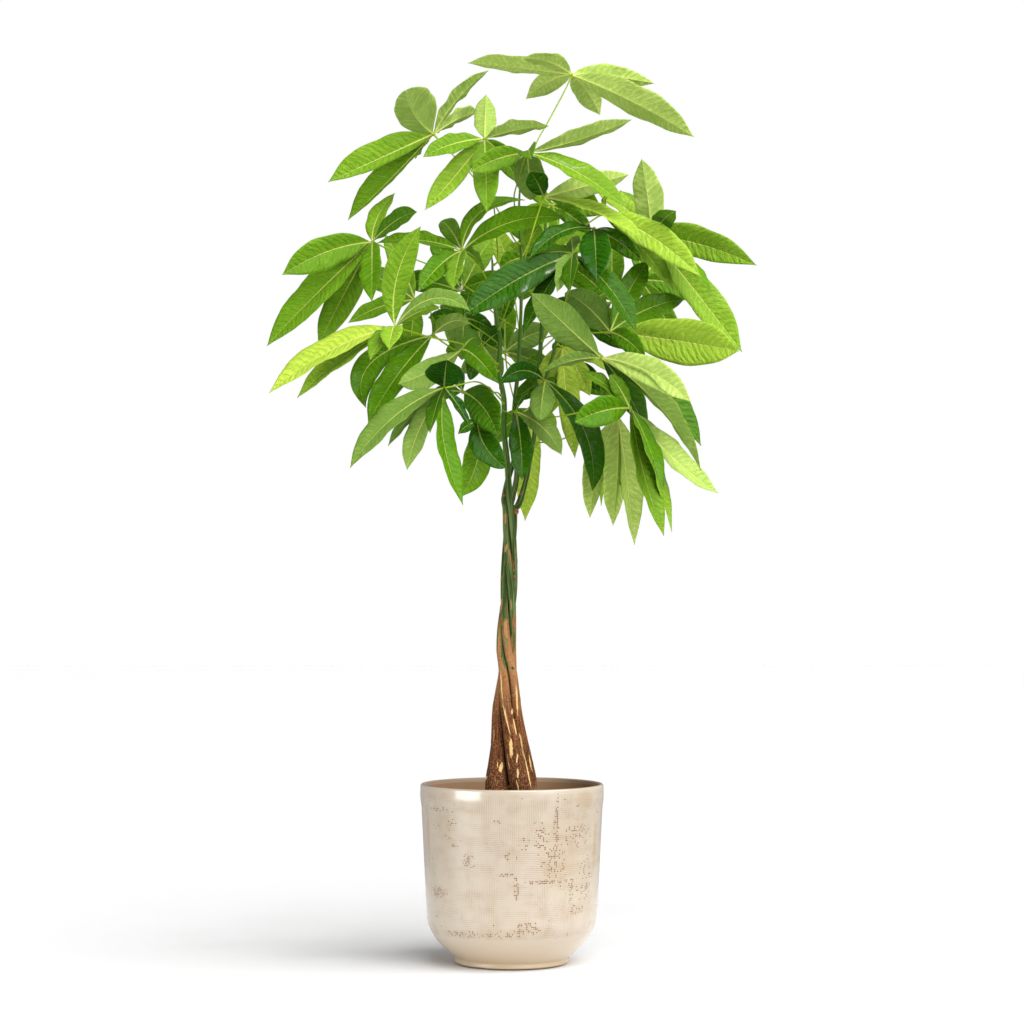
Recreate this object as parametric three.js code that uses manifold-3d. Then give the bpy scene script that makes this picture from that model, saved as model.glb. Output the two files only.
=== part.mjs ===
// A potted money tree (Pachira): four stems twisted into one trunk, palmate leaves on long stalks, and
// potting soil in a glazed cachepot. Millimetres, +Z up. The origin is the middle of the pot's underside,
// and the front is -Y.
import * as THREE from 'three';
import { mergeVertices } from 'three/addons/utils/BufferGeometryUtils.js';
import Module from 'manifold-3d';

const wasm = await Module();
wasm.setup();

// Pot and soil
const POT_HEIGHT = 214;
const RIM_RADIUS = 110;
const SHOULDER_RADIUS = 102.2;
const SHOULDER_HEIGHT = 56;
const BOWL_BEND_RADIUS = 101;
const BOWL_BEND_HEIGHT = 33;
const BOWL_STEPS = 6;
const FOOT_RADIUS = 68.5;
const FOOT_HEIGHT = 8;
const FOOT_BEVEL = 1;
const FOOT_GROOVE = 0.9;
const GROOVE_HEIGHT = 6.5;
const WALL = 5;
const FLOOR_THICKNESS = 10;
const POT_SIDES = 40;
const SOIL_TOP = 176;
const SOIL_GAP = 0.5;

// Twisted trunk
const STEM_SIDES = 8;
const TWIST_STEPS = 20;
const STEM_GAP = 0.5;
// Stems slant past each other, so each stands this many times its radius off the straight-stem ring
const STEM_SLANT = 1.03;
const HOLE_CLEARANCE = 0.6;
const HOLE_TOP = 205;
const SHOOT_STEPS = 2;

// Rows up the trunk: height, one stem's radius, how far the trunk leans to +X, and its turn in degrees
const TRUNK = [
  [112, 15.4, -1, 66], [160, 15.3, -1, 55], [208, 14.6, -1, 38], [253, 9.8, -2, 14], [300, 7.2, -6, -2],
  [345, 5.3, -5, -40], [380, 4.8, -7, -79], [440, 4.3, -4, -147], [490, 3.8, -3, -203], [545, 3.8, -2, -264],
];
// Where each stem stands in the twist, in degrees, when the trunk's turn is zero
const STEM_PHASES = [180, 0, -90, 90];

// The place a front view is taken from: a point seen there is given as pixels across and down (of 1024),
// with millimetres back from the pot's axis
const EYE_DISTANCE = 2900;
const EYE_HEIGHT = 424;
const EYE_TILT = THREE.MathUtils.degToRad(2.3);
const FOCAL_PIXELS = 2403;
const VIEW_CENTRE = 512;

// Each stem above the twist: seen points, with the radius there
const SHOOTS = [
  [[509.5, 498, -7, 4.1], [507.5, 465, -8, 4], [504, 430, -8, 3.8], [504, 400, -8, 3.6], [499, 370, -8, 3.2],
    [500, 340, -8, 2.9], [494, 300, -10, 2.4], [492, 256, -10, 1.4]],
  [[512, 499, 8, 3.9], [516.5, 478, 6, 3.6], [516, 450, 8, 3.4], [514, 415, 8, 3.1], [518, 370, 10, 2.8],
    [521, 310, 10, 2.4], [521, 254, 8, 2.1], [519, 215, 6, 1.8], [520, 184, 5, 1.5]],
  [[518, 506, 2, 3.7], [524, 488, 3, 3.2], [532, 450, -4, 3], [539, 405, -12, 2.9], [546, 378, -18, 2.6],
    [553, 355, -26, 2.4], [561, 320, -42, 2]],
  [[504.5, 500, 2, 4.1], [508, 480, 10, 3.8], [521, 440, 26, 3.4], [536, 390, 34, 3.2], [541, 340, 36, 3],
    [543, 290, 34, 2.6], [545, 240, 28, 2], [546, 205, 24, 1.5]],
];

// Leaves
const HUB_RADIUS = 3.4;
const STALK_RADIUS = 1.5;
const STALK_SIDES = 4;
const STALK_STEPS = 6;
const STALK_LEAD = 5;
const STALK_GAP = 0.45;
const BLADE_THICKNESS = 1.9;
const BLADE_SIDES = 4;
const BLADE_STEPS = 5;
const BLADE_SLIMNESS = 3.7;
const BLADE_FOLD = THREE.MathUtils.degToRad(16);
const BLADE_ARCH = 0.07;
const NARROWEST = 1.1;
const OUTLINE_LEAN = 1.12;
const OUTLINE_FULLNESS = 0.62;

// Every leaf: its name, the stem that carries it, the row of pixels where its stalk starts, the stalk's
// bends with its hub last (across, down, back), and its leaflets: tip across and down, how far the tip lies
// behind the hub, the width that shows (negative where the underside shows), and how the midrib's middle
// bows across and down
const LEAVES = [
  ["leaf_a", 2, 190, [[536, 144, 22], [548, 122, 26], [568, 84, 30], [571.5, 74.5, 30]], [
    [468, 63, 45, -18, 0, -1], [533, 56, -95, -25], [526, 99, 75, -20], [599, 115, 80, -22],
    [655, 83.5, 20, -24], [694, 137, -25, -34, 0, -3]]],
  ["leaf_b", 2, 243, [[496, 207, -5], [470, 173, -22], [445, 147, -30], [433.5, 134, -32]], [
    [406, 90, -95, -43, -5, 3], [489, 70, -15, -17, -5, -3], [480, 113, 85, -15, 0, -11],
    [328, 181, -20, 30, 0, 0], [348, 219, 25, 24, 3, 2], [417, 160, 85, 16]]],
  ["leaf_c", 1, 266, [[497, 240, -12], [492, 190, -30], [487, 155, -50], [484.5, 139, -55]], [
    [486, 95, 80, -24, 2, 0], [549, 126, -70, -18, 0, -3], [423, 157, -60, 20, 0, -4],
    [425, 210, -40, 27, 1, 1], [487, 213, -45, 29], [519, 184, 75, 20]]],
  ["leaf_d", 2, 226, [[514, 198, -25], [519, 178, -50], [525, 158, -72], [527, 153, -75]], [
    [531, 159, -85, 22], [470, 172, -35, 24, 0, -4], [632, 119.5, -10, -19, 2, -3],
    [625, 207, -30, 20, 2, -9], [531, 200, 35, -33]]],
  ["leaf_e", 1, 301, [[480, 295, -14], [436, 268, -40], [395, 252, -56], [372.5, 242, -60]], [
    [395, 193, 60, 17, -3, 0], [417, 212, -70, 18, 2, -3], [282, 275, -30, 34], [268, 345, 0, 34, -2, -3],
    [316, 345, 30, 25], [372, 302, -75, 22]]],
  ["leaf_f", 1, 291, [[485, 276, -25], [475, 263, -42], [462, 251, -50]], [
    [377, 243, 35, 14], [565, 218, -10, 25, -3, -12], [418, 292, -70, 22], [453, 290, -85, 18],
    [485, 272, 75, 10], [525, 200, 20, 17, -13, -13], [441, 221, 70, 20]]],
  ["leaf_g", 1, 365, [[465, 345, -62], [430, 337, -90], [395, 327, -120]], [
    [421, 226, -20, 29, -11, 0], [270, 393, 10, 24, 0, -12], [298, 397, 45, 15, 0, -8], [370, 360, -80, 16],
    [389, 350, -90, 22], [470, 311, -30, 18, 0, -20], [440, 307, 40, 13], [401, 341, 35, 10]]],
  ["leaf_h", 1, 368, [[475, 361, -25], [450, 347, -45], [433, 335, -60]], [
    [368, 403, -20, 22, -29, -14], [368, 424, -50, 28, -3, -4], [432, 316, 70, 8],
    [470, 324, -30, -16, 0, -8], [452, 318, 45, 14]]],
  ["leaf_i", 1, 372, [[480, 360, -45], [461, 350, -62]], [
    [400, 382, -62, -23, 0, 3], [499, 384, -40, 22, -4, -10], [480, 338, 75, 20]]],
  ["leaf_j", 1, 404, [[478, 382, -80], [455, 386, -120], [444, 388, -140]], [
    [447, 360, -75, 42], [461, 502, -20, 20, -4, -4], [470, 427, 10, 10], [351, 467, -20, 25, -2, -10],
    [408, 469, -10, 22], [430, 433, -70, 14], [388, 446, 30, 14]]],
  ["leaf_k", 1, 396, [[485, 393, -22], [463, 392, -44]], [
    [497, 434, -60, 25, 6, -8], [493, 406, 55, 26], [446, 372, 70, 14], [432, 398, 50, 16]]],
  ["leaf_l", 2, 411, [[500, 410, -40], [488, 413, -65], [478, 422, -75]], [
    [458, 434, -40, 12], [505, 468, -20, 30, -7, 0], [461, 497, 20, 30, 12, 0]]],
  ["leaf_m", 2, 405, [[516, 409, -25], [516, 412, -45]], [
    [522, 480, -25, 25, 2, 0], [561.5, 455, -40, -21, 4, -6], [527, 393, 60, 8]]],
  ["leaf_n", 3, 386, [[544.5, 383, -35], [545, 381, -50]], [
    [592, 492, -20, 22, 18, -6], [499, 384, -60, 20, 0, -12], [540, 420, -50, -26], [571, 400, 60, 8]]],
  ["leaf_o", 3, 423, [[562, 416, -72], [600, 409, -100], [630, 408, -110]], [
    [575, 422, -50, 31, 0, -4], [664, 535, -10, 15], [663, 490, -60, 14], [672, 532, 20, 12],
    [718, 493, 45, 22, -4, 5], [581, 371, 15, 12], [610, 375, 0, 16]]],
  ["leaf_p", 3, 446, [[560, 440, -15], [590, 425, -25], [618, 415, -35]], [
    [590, 517, -10, -24, -8, -4], [613, 525, 0, -22], [634.5, 545, -25, -23], [601, 506, 40, 10]]],
  ["leaf_q", 3, 347, [[575, 346, -36], [592, 347, -85], [601, 358, -100]], [
    [531, 293, -50, -36, 0, 0], [689, 400, -50, 27], [699, 471, -45, -22], [700, 446, 25, 28, 5, -7],
    [543, 372, -30, -12], [648, 434, 75, 25]]],
  ["leaf_r", 4, 338, [[565, 334, -5], [590, 333, -40], [610, 332, -60]], [
    [737, 352, -40, 53, 0, 1], [648, 262, 20, 26], [646, 359, -60, 22], [565, 293, 60, -35],
    [684, 300, 55, 26]]],
  ["leaf_s", 3, 352, [[560, 349, -22], [562, 347, -20]], [
    [575, 458, 20, 18], [540, 388, 25, 20], [590, 396, 20, 22], [612, 372, 60, 16]]],
  ["leaf_t", 4, 292, [[575, 265, 10], [620, 248, -5], [652, 238, -20]], [
    [641.5, 159, -30, -30, -3, 0], [595, 189, 45, 18], [621, 191, 85, 14], [676, 211, -85, 22],
    [757, 265, -35, 35, 0, -6], [742, 352, 15, 33, -3, 2], [711, 295, -70, 8]]],
  ["leaf_u", 4, 262, [[565, 240, -5], [590, 222, -45], [602, 214, -60]], [
    [701, 277, -30, 30], [675, 292, 0, 20], [608, 190, -20, 5]]],
  ["leaf_v", 3, 325, [[565, 305, -60], [569, 285, -80], [573, 254, -105]], [
    [462, 317, -40, 35, 0, -6], [523, 334, -20, 18], [557, 292, -60, -16], [570, 292, -80, 16],
    [636, 332, -50, 22, 4, -6], [571, 238, 75, -16], [530, 262, 75, 12]]],
  ["leaf_w", 4, 250, [[560, 238, -10], [585, 228, -70], [594, 229, -85]], [
    [597, 281, -75, 33], [528, 260, -40, 17, 0, -12], [642, 262, -20, 20]]],
  ["leaf_x", 1, 330, [[510, 300, -50], [524, 262, -80], [533, 230, -85], [543.5, 197, -60]], [
    [530, 172, -50, 24], [628, 174.5, 15, -24], [643, 240, -60, 12, 2, -7], [600, 205, 40, 24]]],
  ["leaf_y", 2, 330, [[500, 318, 50], [475, 298, 85], [462, 292, 95]], [
    [400, 282, 30, 24], [432, 238, 40, 24], [493, 238, 60, 26], [452, 350, 30, 24]]],
  ["leaf_z", 4, 345, [[570, 325, 70], [600, 305, 100], [612, 302, 110]], [
    [560, 262, 30, 24], [612, 235, 40, 26], [668, 262, 30, 26], [672, 330, 20, 24], [575, 335, 50, 22]]],
  ["leaf_aa", 4, 300, [[548, 270, 80], [548, 255, 130]], [
    [500, 215, 50, 24], [548, 200, 60, 24], [596, 238, 50, 26], [590, 290, 40, 26], [520, 300, 50, 26]]],
  ["leaf_bb", 2, 400, [[508, 375, 60], [505, 352, 95]], [
    [455, 325, 50, 24], [462, 372, 30, 24], [505, 300, 50, 24], [548, 330, 40, 26], [555, 375, 30, 24]]],
  ["leaf_cc", 4, 415, [[529, 412, 50], [530, 408, 75]], [
    [527, 517, -20, 17], [575, 385, 30, 22], [490, 445, 20, 22], [555, 430, 40, 20]]],
  ["leaf_dd", 2, 360, [[480, 340, 40], [440, 310, 80], [415, 300, 95]], [
    [350, 270, 20, 26], [385, 235, 40, 22], [348, 323, 10, 18], [410, 355, 30, 22]]],
  ["leaf_ee", 4, 320, [[590, 300, 50], [640, 280, 70]], [
    [690, 240, 40, 26], [715, 300, 30, 28], [680, 350, 20, 24], [640, 230, 50, 22]]],
];

// Where a point of the front view lies in space
function seen([across, down, back]) {
  const u = (across - VIEW_CENTRE) / FOCAL_PIXELS;
  const v = (VIEW_CENTRE - down) / FOCAL_PIXELS;
  const reach = (back + EYE_DISTANCE) / (Math.cos(EYE_TILT) - v * Math.sin(EYE_TILT));
  const height = EYE_HEIGHT + reach * (Math.sin(EYE_TILT) + v * Math.cos(EYE_TILT));
  return new THREE.Vector3(reach * u, back, height);
}

function material(color, roughness) {
  return new THREE.MeshStandardMaterial({ color, roughness, metalness: 0 });
}

// A closed solid from a three.js geometry whose faces share their corners
function solid(geometry) {
  geometry.deleteAttribute('normal');
  geometry.deleteAttribute('uv');
  const whole = mergeVertices(geometry, 1e-4);
  const vertProperties = new Float32Array(whole.attributes.position.array);
  const triVerts = new Uint32Array(whole.index.array);
  return new wasm.Manifold(new wasm.Mesh({ numProp: 3, vertProperties, triVerts }));
}

function namedMesh(name, body, finish) {
  const { vertProperties, triVerts } = body.getMesh();
  const geometry = new THREE.BufferGeometry();
  geometry.setAttribute('position', new THREE.BufferAttribute(new Float32Array(vertProperties), 3));
  geometry.setIndex(new THREE.BufferAttribute(new Uint32Array(triVerts), 1));
  geometry.computeVertexNormals();
  const mesh = new THREE.Mesh(geometry, finish);
  mesh.name = name;
  return mesh;
}

// Directions across a path at each of its points, carried along it without twisting
function frames(points, firstAcross) {
  const across = firstAcross.clone();
  return points.map((point, i) => {
    const before = points[Math.max(i - 1, 0)];
    const after = points[Math.min(i + 1, points.length - 1)];
    const along = after.clone().sub(before).normalize();
    across.addScaledVector(along, -across.dot(along)).normalize();
    return { point, across: across.clone(), up: across.clone().cross(along) };
  });
}

// A body swept through stations: section(station number, x, z) places the unit section's point (x, z)
function sweep(stationCount, sides, pointed, section) {
  const steps = stationCount - 1;
  const shape = new THREE.CylinderGeometry(pointed ? 0 : 1, 1, 1, sides, steps);
  const place = shape.attributes.position;
  for (let i = 0; i < place.count; i++) {
    const station = Math.round((place.getY(i) + 0.5) * steps);
    const size = pointed ? Math.max(1 - station / steps, 1e-9) : 1;
    const spot = section(station, place.getX(i) / size, place.getZ(i) / size);
    place.setXYZ(i, spot.x, spot.y, spot.z);
  }
  return solid(shape);
}

// A round tube through points, with a radius at each
function tube(points, radii, sides, firstAcross) {
  const rings = frames(points, firstAcross);
  return sweep(points.length, sides, false, (k, x, z) => {
    const { point, across, up } = rings[k];
    return point.clone().addScaledVector(across, -x * radii[k]).addScaledVector(up, -z * radii[k]);
  });
}

// A body turned about the pot's axis from a profile of radius and height
function turned(profile) {
  return solid(new THREE.LatheGeometry(profile, POT_SIDES).rotateX(Math.PI / 2));
}

// The pot's inner face from its floor to just under the lip, as radius and height
function innerProfile() {
  const bowl = new THREE.QuadraticBezierCurve(
    new THREE.Vector2(FOOT_RADIUS - WALL, FLOOR_THICKNESS),
    new THREE.Vector2(BOWL_BEND_RADIUS - WALL, BOWL_BEND_HEIGHT + WALL),
    new THREE.Vector2(SHOULDER_RADIUS - WALL, SHOULDER_HEIGHT),
  );
  const lip = new THREE.Vector2(RIM_RADIUS - WALL, POT_HEIGHT - WALL / 2);
  return [...bowl.getPoints(BOWL_STEPS), lip];
}

// A glazed pot: a turned foot with a groove, a bowl that rises to a straight flared wall, and a round lip
function pot() {
  const bowl = new THREE.QuadraticBezierCurve(
    new THREE.Vector2(FOOT_RADIUS, FOOT_HEIGHT),
    new THREE.Vector2(BOWL_BEND_RADIUS, BOWL_BEND_HEIGHT),
    new THREE.Vector2(SHOULDER_RADIUS, SHOULDER_HEIGHT),
  );
  const lipRadius = WALL / 2;
  const lip = [0, 45, 90, 135].map((degrees) => {
    const angle = THREE.MathUtils.degToRad(degrees);
    const radius = RIM_RADIUS - lipRadius + lipRadius * Math.cos(angle);
    return new THREE.Vector2(radius, POT_HEIGHT - lipRadius + lipRadius * Math.sin(angle));
  });
  const profile = [
    new THREE.Vector2(0, 0),
    new THREE.Vector2(FOOT_RADIUS - FOOT_BEVEL, 0),
    new THREE.Vector2(FOOT_RADIUS, FOOT_BEVEL),
    new THREE.Vector2(FOOT_RADIUS, 2 * GROOVE_HEIGHT - FOOT_HEIGHT),
    new THREE.Vector2(FOOT_RADIUS - FOOT_GROOVE, GROOVE_HEIGHT),
    ...bowl.getPoints(BOWL_STEPS),
    ...lip,
    ...innerProfile().reverse(),
    new THREE.Vector2(0, FLOOR_THICKNESS),
  ];
  return turned(profile);
}

// The trunk's rows as one smooth curve: x holds the height, y a stem's radius and z the lean
const trunkShape = new THREE.CatmullRomCurve3(TRUNK.map(([height, radius, lean]) => (
  new THREE.Vector3(height, radius, lean))));
const trunkTurn = new THREE.CatmullRomCurve3(TRUNK.map(([height, , , turn]) => (
  new THREE.Vector3(height, turn, 0))));

// The middle of stem number i at station k of the twist, with its radius
function twisted(i, k) {
  const t = k / TWIST_STEPS;
  const { x: height, y: radius, z: lean } = trunkShape.getPoint(t);
  const angle = THREE.MathUtils.degToRad(trunkTurn.getPoint(t).y + STEM_PHASES[i]);
  const ring = (radius * STEM_SLANT + STEM_GAP / 2) * Math.SQRT2;
  const point = new THREE.Vector3(lean + ring * Math.cos(angle), ring * Math.sin(angle), height);
  return { point, radius };
}

// Every stem as points with radii: its twisted stretch, then its free shoot
function stemPath(i) {
  const knots = [];
  for (let k = 0; k <= TWIST_STEPS; k++) knots.push(twisted(i, k));
  for (const [across, down, back, radius] of SHOOTS[i]) {
    knots.push({ point: seen([across, down, back]), radius });
  }
  const curve = new THREE.CatmullRomCurve3(knots.map((knot) => knot.point));
  const points = [];
  const radii = [];
  for (let k = 0; k < knots.length - 1; k++) {
    const parts = k < TWIST_STEPS ? 1 : SHOOT_STEPS;
    for (let part = 0; part < parts; part++) {
      const place = k + part / parts;
      points.push(curve.getPoint(place / (knots.length - 1)));
      radii.push(THREE.MathUtils.lerp(knots[k].radius, knots[k + 1].radius, part / parts));
    }
  }
  points.push(knots[knots.length - 1].point.clone());
  radii.push(knots[knots.length - 1].radius);
  return { points, radii };
}

const stemPaths = SHOOTS.map((_, i) => stemPath(i));

function stem(i) {
  const { points, radii } = stemPaths[i];
  return tube(points, radii, STEM_SIDES, new THREE.Vector3(1, 0, 0));
}

// The hole that a stem stands in: the stem's own foot made a little wider and deeper
function stemHole(i) {
  const { points, radii } = stemPaths[i];
  const inside = points.filter((point) => point.z < HOLE_TOP).map((point) => point.clone());
  inside[0].z -= HOLE_CLEARANCE;
  const wide = inside.map((_, k) => radii[k] + HOLE_CLEARANCE);
  return tube(inside, wide, STEM_SIDES, new THREE.Vector3(1, 0, 0));
}

// Potting soil that fills the pot's inside, with a hole for each stem
function soil() {
  const wall = innerProfile();
  const lip = wall.pop();
  const foot = wall[wall.length - 1];
  const share = (SOIL_TOP - foot.y) / (lip.y - foot.y);
  const edge = new THREE.Vector2(THREE.MathUtils.lerp(foot.x, lip.x, share), SOIL_TOP - SOIL_GAP);
  const profile = [
    new THREE.Vector2(0, FLOOR_THICKNESS + SOIL_GAP),
    ...[...wall, edge].map(({ x, y }) => new THREE.Vector2(x - SOIL_GAP, y + SOIL_GAP)),
    new THREE.Vector2(0, SOIL_TOP),
  ];
  return stemPaths.reduce((body, _, i) => body.subtract(stemHole(i)), turned(profile));
}

// The middle and radius of a stem at a height above the twist
function stemAt(i, height) {
  const { points, radii } = stemPaths[i];
  const k = points.findIndex((point) => point.z > height);
  const share = (height - points[k - 1].z) / (points[k].z - points[k - 1].z);
  return {
    point: points[k - 1].clone().lerp(points[k], share),
    radius: THREE.MathUtils.lerp(radii[k - 1], radii[k], share),
  };
}

// A leaf's stalk, from just off its stem's bark to the hub
function stalk(stemNumber, row, bends) {
  const carrier = stemAt(stemNumber - 1, seen([VIEW_CENTRE, row, 0]).z);
  const bendPoints = bends.map(seen);
  const outward = bendPoints[0].clone().sub(carrier.point).setZ(0).normalize();
  const start = carrier.point.clone().addScaledVector(outward, carrier.radius + STALK_GAP);
  const lead = start.clone().addScaledVector(outward, STALK_LEAD);
  const route = new THREE.CatmullRomCurve3([start, lead, ...bendPoints]);
  const points = route.getPoints(STALK_STEPS);
  const sideways = new THREE.Vector3(-outward.y, outward.x, 0);
  return tube(points, points.map(() => STALK_RADIUS), STALK_SIDES, sideways);
}

// The width of a leaflet at a share of its length, next to its greatest: slim at the base, widest just
// past the middle, with a blunt end that runs out in a point
function outline(share) {
  return Math.sin(Math.PI * share ** OUTLINE_LEAN) ** OUTLINE_FULLNESS;
}

// A leaflet: an arched blade, folded up along its midrib, tilted to show the width seen from the front
function leaflet(hub, [across, down, behind, width, bowAcross, bowDown]) {
  const start = seen(hub);
  const tip = seen([across, down, hub[2] + behind]);
  const length = start.distanceTo(tip);
  const middle = start.clone().lerp(tip, 0.5);
  if (bowDown === undefined) {
    middle.z += BLADE_ARCH * length;
  } else {
    const halfway = [(hub[0] + across) / 2, (hub[1] + down) / 2];
    middle.copy(seen([halfway[0] + bowAcross, halfway[1] + bowDown, hub[2] + behind / 2]));
  }
  const bend = middle.clone().multiplyScalar(2).addScaledVector(start, -0.5).addScaledVector(tip, -0.5);
  const midrib = new THREE.QuadraticBezierCurve3(start, bend, tip);
  const along = tip.clone().sub(start).normalize();
  const toEye = new THREE.Vector3(0, -EYE_DISTANCE, EYE_HEIGHT).sub(middle).normalize();
  const face = toEye.addScaledVector(along, -toEye.dot(along)).normalize().multiplyScalar(Math.sign(width));
  const shown = Math.abs(width) * (EYE_DISTANCE + middle.y) / FOCAL_PIXELS;
  const full = Math.max(shown, length / BLADE_SLIMNESS);
  const tilt = Math.acos(shown / full);
  const sideways = along.clone().cross(face);
  const lean = Math.sign(sideways.z) || 1;
  const top = face.multiplyScalar(Math.cos(tilt)).addScaledVector(sideways, lean * Math.sin(tilt));
  const rings = frames(midrib.getPoints(BLADE_STEPS), along.clone().cross(top));
  return sweep(BLADE_STEPS + 1, BLADE_SIDES, true, (k, x, z) => {
    const { point, across: side, up } = rings[k];
    const tipped = k === BLADE_STEPS;
    const half = tipped ? 0 : Math.max(full / 2 * outline(k / BLADE_STEPS), NARROWEST);
    const thick = tipped ? 0 : BLADE_THICKNESS / 2;
    const raised = Math.abs(x) * half * Math.sin(BLADE_FOLD) + z * thick;
    return point.clone().addScaledVector(side, x * half * Math.cos(BLADE_FOLD)).addScaledVector(up, raised);
  });
}

// A palmate leaf: its stalk, a small hub and its leaflets as one body
function leaf([, stemNumber, row, bends, leaflets]) {
  const hub = bends[bends.length - 1];
  const knob = solid(new THREE.OctahedronGeometry(HUB_RADIUS).translate(...seen(hub).toArray()));
  const base = stalk(stemNumber, row, bends).add(knob);
  return leaflets.reduce((body, blade) => body.add(leaflet(hub, blade)), base);
}

const glaze = material(0xe1d5c3, 0.3);
const earth = material(0x3a2a1e, 0.95);
const bark = material(0x6b5a3a, 0.75);
const green = material(0x4f8a1c, 0.45);

const group = new THREE.Group();
group.add(namedMesh('pot', pot(), glaze));
group.add(namedMesh('soil', soil(), earth));
SHOOTS.forEach((_, i) => group.add(namedMesh(`stem_${i + 1}`, stem(i), bark)));
LEAVES.forEach((row) => group.add(namedMesh(row[0], leaf(row), green)));

export default group;
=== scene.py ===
"""A potted money tree (Pachira): a cream glazed pot with a woven relief, potting soil, four twisted stems and
palmate leaves. Every piece is worked out with numpy in millimetres and put into its mesh in metres."""

import math
from itertools import combinations

import bpy
import numpy as np
from bpy.props import FloatProperty, FloatVectorProperty, IntProperty, PointerProperty
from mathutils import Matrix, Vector


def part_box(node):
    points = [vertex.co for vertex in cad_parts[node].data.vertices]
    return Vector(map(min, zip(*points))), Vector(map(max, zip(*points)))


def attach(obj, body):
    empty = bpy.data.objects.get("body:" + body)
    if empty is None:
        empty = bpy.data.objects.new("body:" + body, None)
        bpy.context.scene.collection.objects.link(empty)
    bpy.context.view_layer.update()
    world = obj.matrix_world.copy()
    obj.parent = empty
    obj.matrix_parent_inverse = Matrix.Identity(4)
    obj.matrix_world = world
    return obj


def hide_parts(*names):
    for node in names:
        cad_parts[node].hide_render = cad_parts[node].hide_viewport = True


bl_info = {
    "name": "Potted Money Tree",
    "version": (1, 0, 0),
    "blender": (4, 5, 0),
    "location": "View3D > Sidebar > Money Tree",
    "description": "Builds a potted money tree with its glazed pot, soil, twisted stems and palmate leaves",
    "category": "Add Mesh",
}

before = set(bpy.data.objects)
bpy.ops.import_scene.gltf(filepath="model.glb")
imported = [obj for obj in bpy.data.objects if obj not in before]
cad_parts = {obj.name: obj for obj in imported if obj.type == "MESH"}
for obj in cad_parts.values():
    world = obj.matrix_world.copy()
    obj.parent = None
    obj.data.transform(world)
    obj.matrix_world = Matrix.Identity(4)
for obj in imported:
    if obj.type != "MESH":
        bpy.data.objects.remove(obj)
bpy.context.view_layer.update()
METRE = 1000.0
RIM_RADIUS, _, RIM_HEIGHT = (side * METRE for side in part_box("pot")[1])
SOIL_RADIUS, _, SOIL_TOP = (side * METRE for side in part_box("soil")[1])

# The pot's profile, beside what the frame gives
SHOULDER_RADIUS = 102.2
SHOULDER_HEIGHT = 56
BOWL_BEND_RADIUS = 101
BOWL_BEND_HEIGHT = 33
FOOT_RADIUS = 68.5
FOOT_HEIGHT = 8
FOOT_ROUND = 1.6
FOOT_REST = 46
FOOT_GAP = 1.8
FOOT_GROOVE = 0.9
GROOVE_HEIGHT = 6.5
WALL = 5
RIM_SWELL = 0.9
RIM_SWELL_LENGTH = 22
RIM_SWELL_TOP = 4
FLOOR_THICKNESS = 10

# Where the weave starts above the floor and ends below the lip, how far it fades there, how far above the
# floor and the foot's top the gloss comes in, and the heights in metres between which the bowl's colour
# fades
WEAVE_FOOT = 38
WEAVE_FOOT_FADE = 4
WEAVE_HEAD = 5
WEAVE_HEAD_FADE = 3
FOOT_FADE = 4
BOWL_FADE = (0.008, 0.05)

# Where the weave is worn on the side that faces the camera: seen across and down in pixels, half its width
# and height there, and the share of the threads' crossings that carry a speck
SPECK_PATCHES = [
    [556, 835, 3.4, 46, 0.7], [469, 862, 8, 9, 0.6], [507, 856, 4, 6, 0.6], [505, 875, 11, 2.5, 0.8],
    [516, 889, 4, 14, 0.7], [547, 882, 22, 3.5, 0.75], [542, 840, 10, 20, 0.3], [578, 836, 12, 17, 0.3],
    [576, 909, 9, 6, 0.45], [554, 862, 14, 22, 0.4], [524, 844, 7, 10, 0.3], [451, 822, 9, 14, 0.15],
    [584, 880, 8, 30, 0.25], [461, 934, 26, 5, 0.5], [527, 929, 17, 9, 0.6], [439, 892, 10, 9, 0.5],
    [496, 822, 6, 3, 0.4], [451, 843, 5, 8, 0.4], [437, 809, 11, 2.5, 0.4], [571, 890, 3, 26, 0.4],
    [505, 936, 30, 3.5, 0.5],
]

# Tan marks on the glaze, in the same form. The first two are thin lines along the pot's left and right edges
# as seen: painted shade there. The others are tan patches
TAN_PATCHES_AND_EDGE_SHADE = [
    [428.5, 832, 1.3, 30, 0.8], [594.5, 846, 2, 32, 0.8], [560, 850, 22, 46, 0.35], [585, 800, 8, 30, 0.4],
    [505, 935, 46, 8, 0.3],
]

# Twisted trunk. Rows: height, one stem's radius, how far the trunk leans to +X, and its turn in degrees
TRUNK = np.array([
    [112, 15.4, -1, 66], [160, 15.3, -1, 55], [208, 14.6, -1, 38], [253, 9.8, -2, 14], [300, 7.2, -6, -2],
    [345, 5.3, -5, -40], [380, 4.8, -7, -79], [440, 4.3, -4, -147], [490, 3.8, -3, -203],
    [545, 3.8, -2, -264],
])
STEM_PHASES = [180, 0, -90, 90]
STEM_GAP = 0.5
STEM_SLANT = 1.03
TWIST_STEPS = 20

# A stem's skin. Up to the end of the twist the stems are pressed together and a little thicker, and their
# ribs fade out below it. The joints of each next stem are further apart by the spread and shifted by the
# stagger. All in millimetres but the press, a share of the radius, and the stagger, a share of the spacing
TWIST_END = 585
TWIST_FADE = 40
STEM_PRESS = 0.42
STEM_GROWTH = 0.3
STEM_TRIM = 0.35
RIB_END = 330
RIB_FADE = 150
RIB_DEPTH = 0.28
JOINT_SPACING = 44
JOINT_SPREAD = 5
JOINT_STAGGER = 0.3
JOINT_HEIGHT = 0.35
JOINT_WIDTH = 1.6
BARK_SHIFT = 37
SCAR_SINK = 0.6
TRUNK_FRONT = -8

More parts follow.
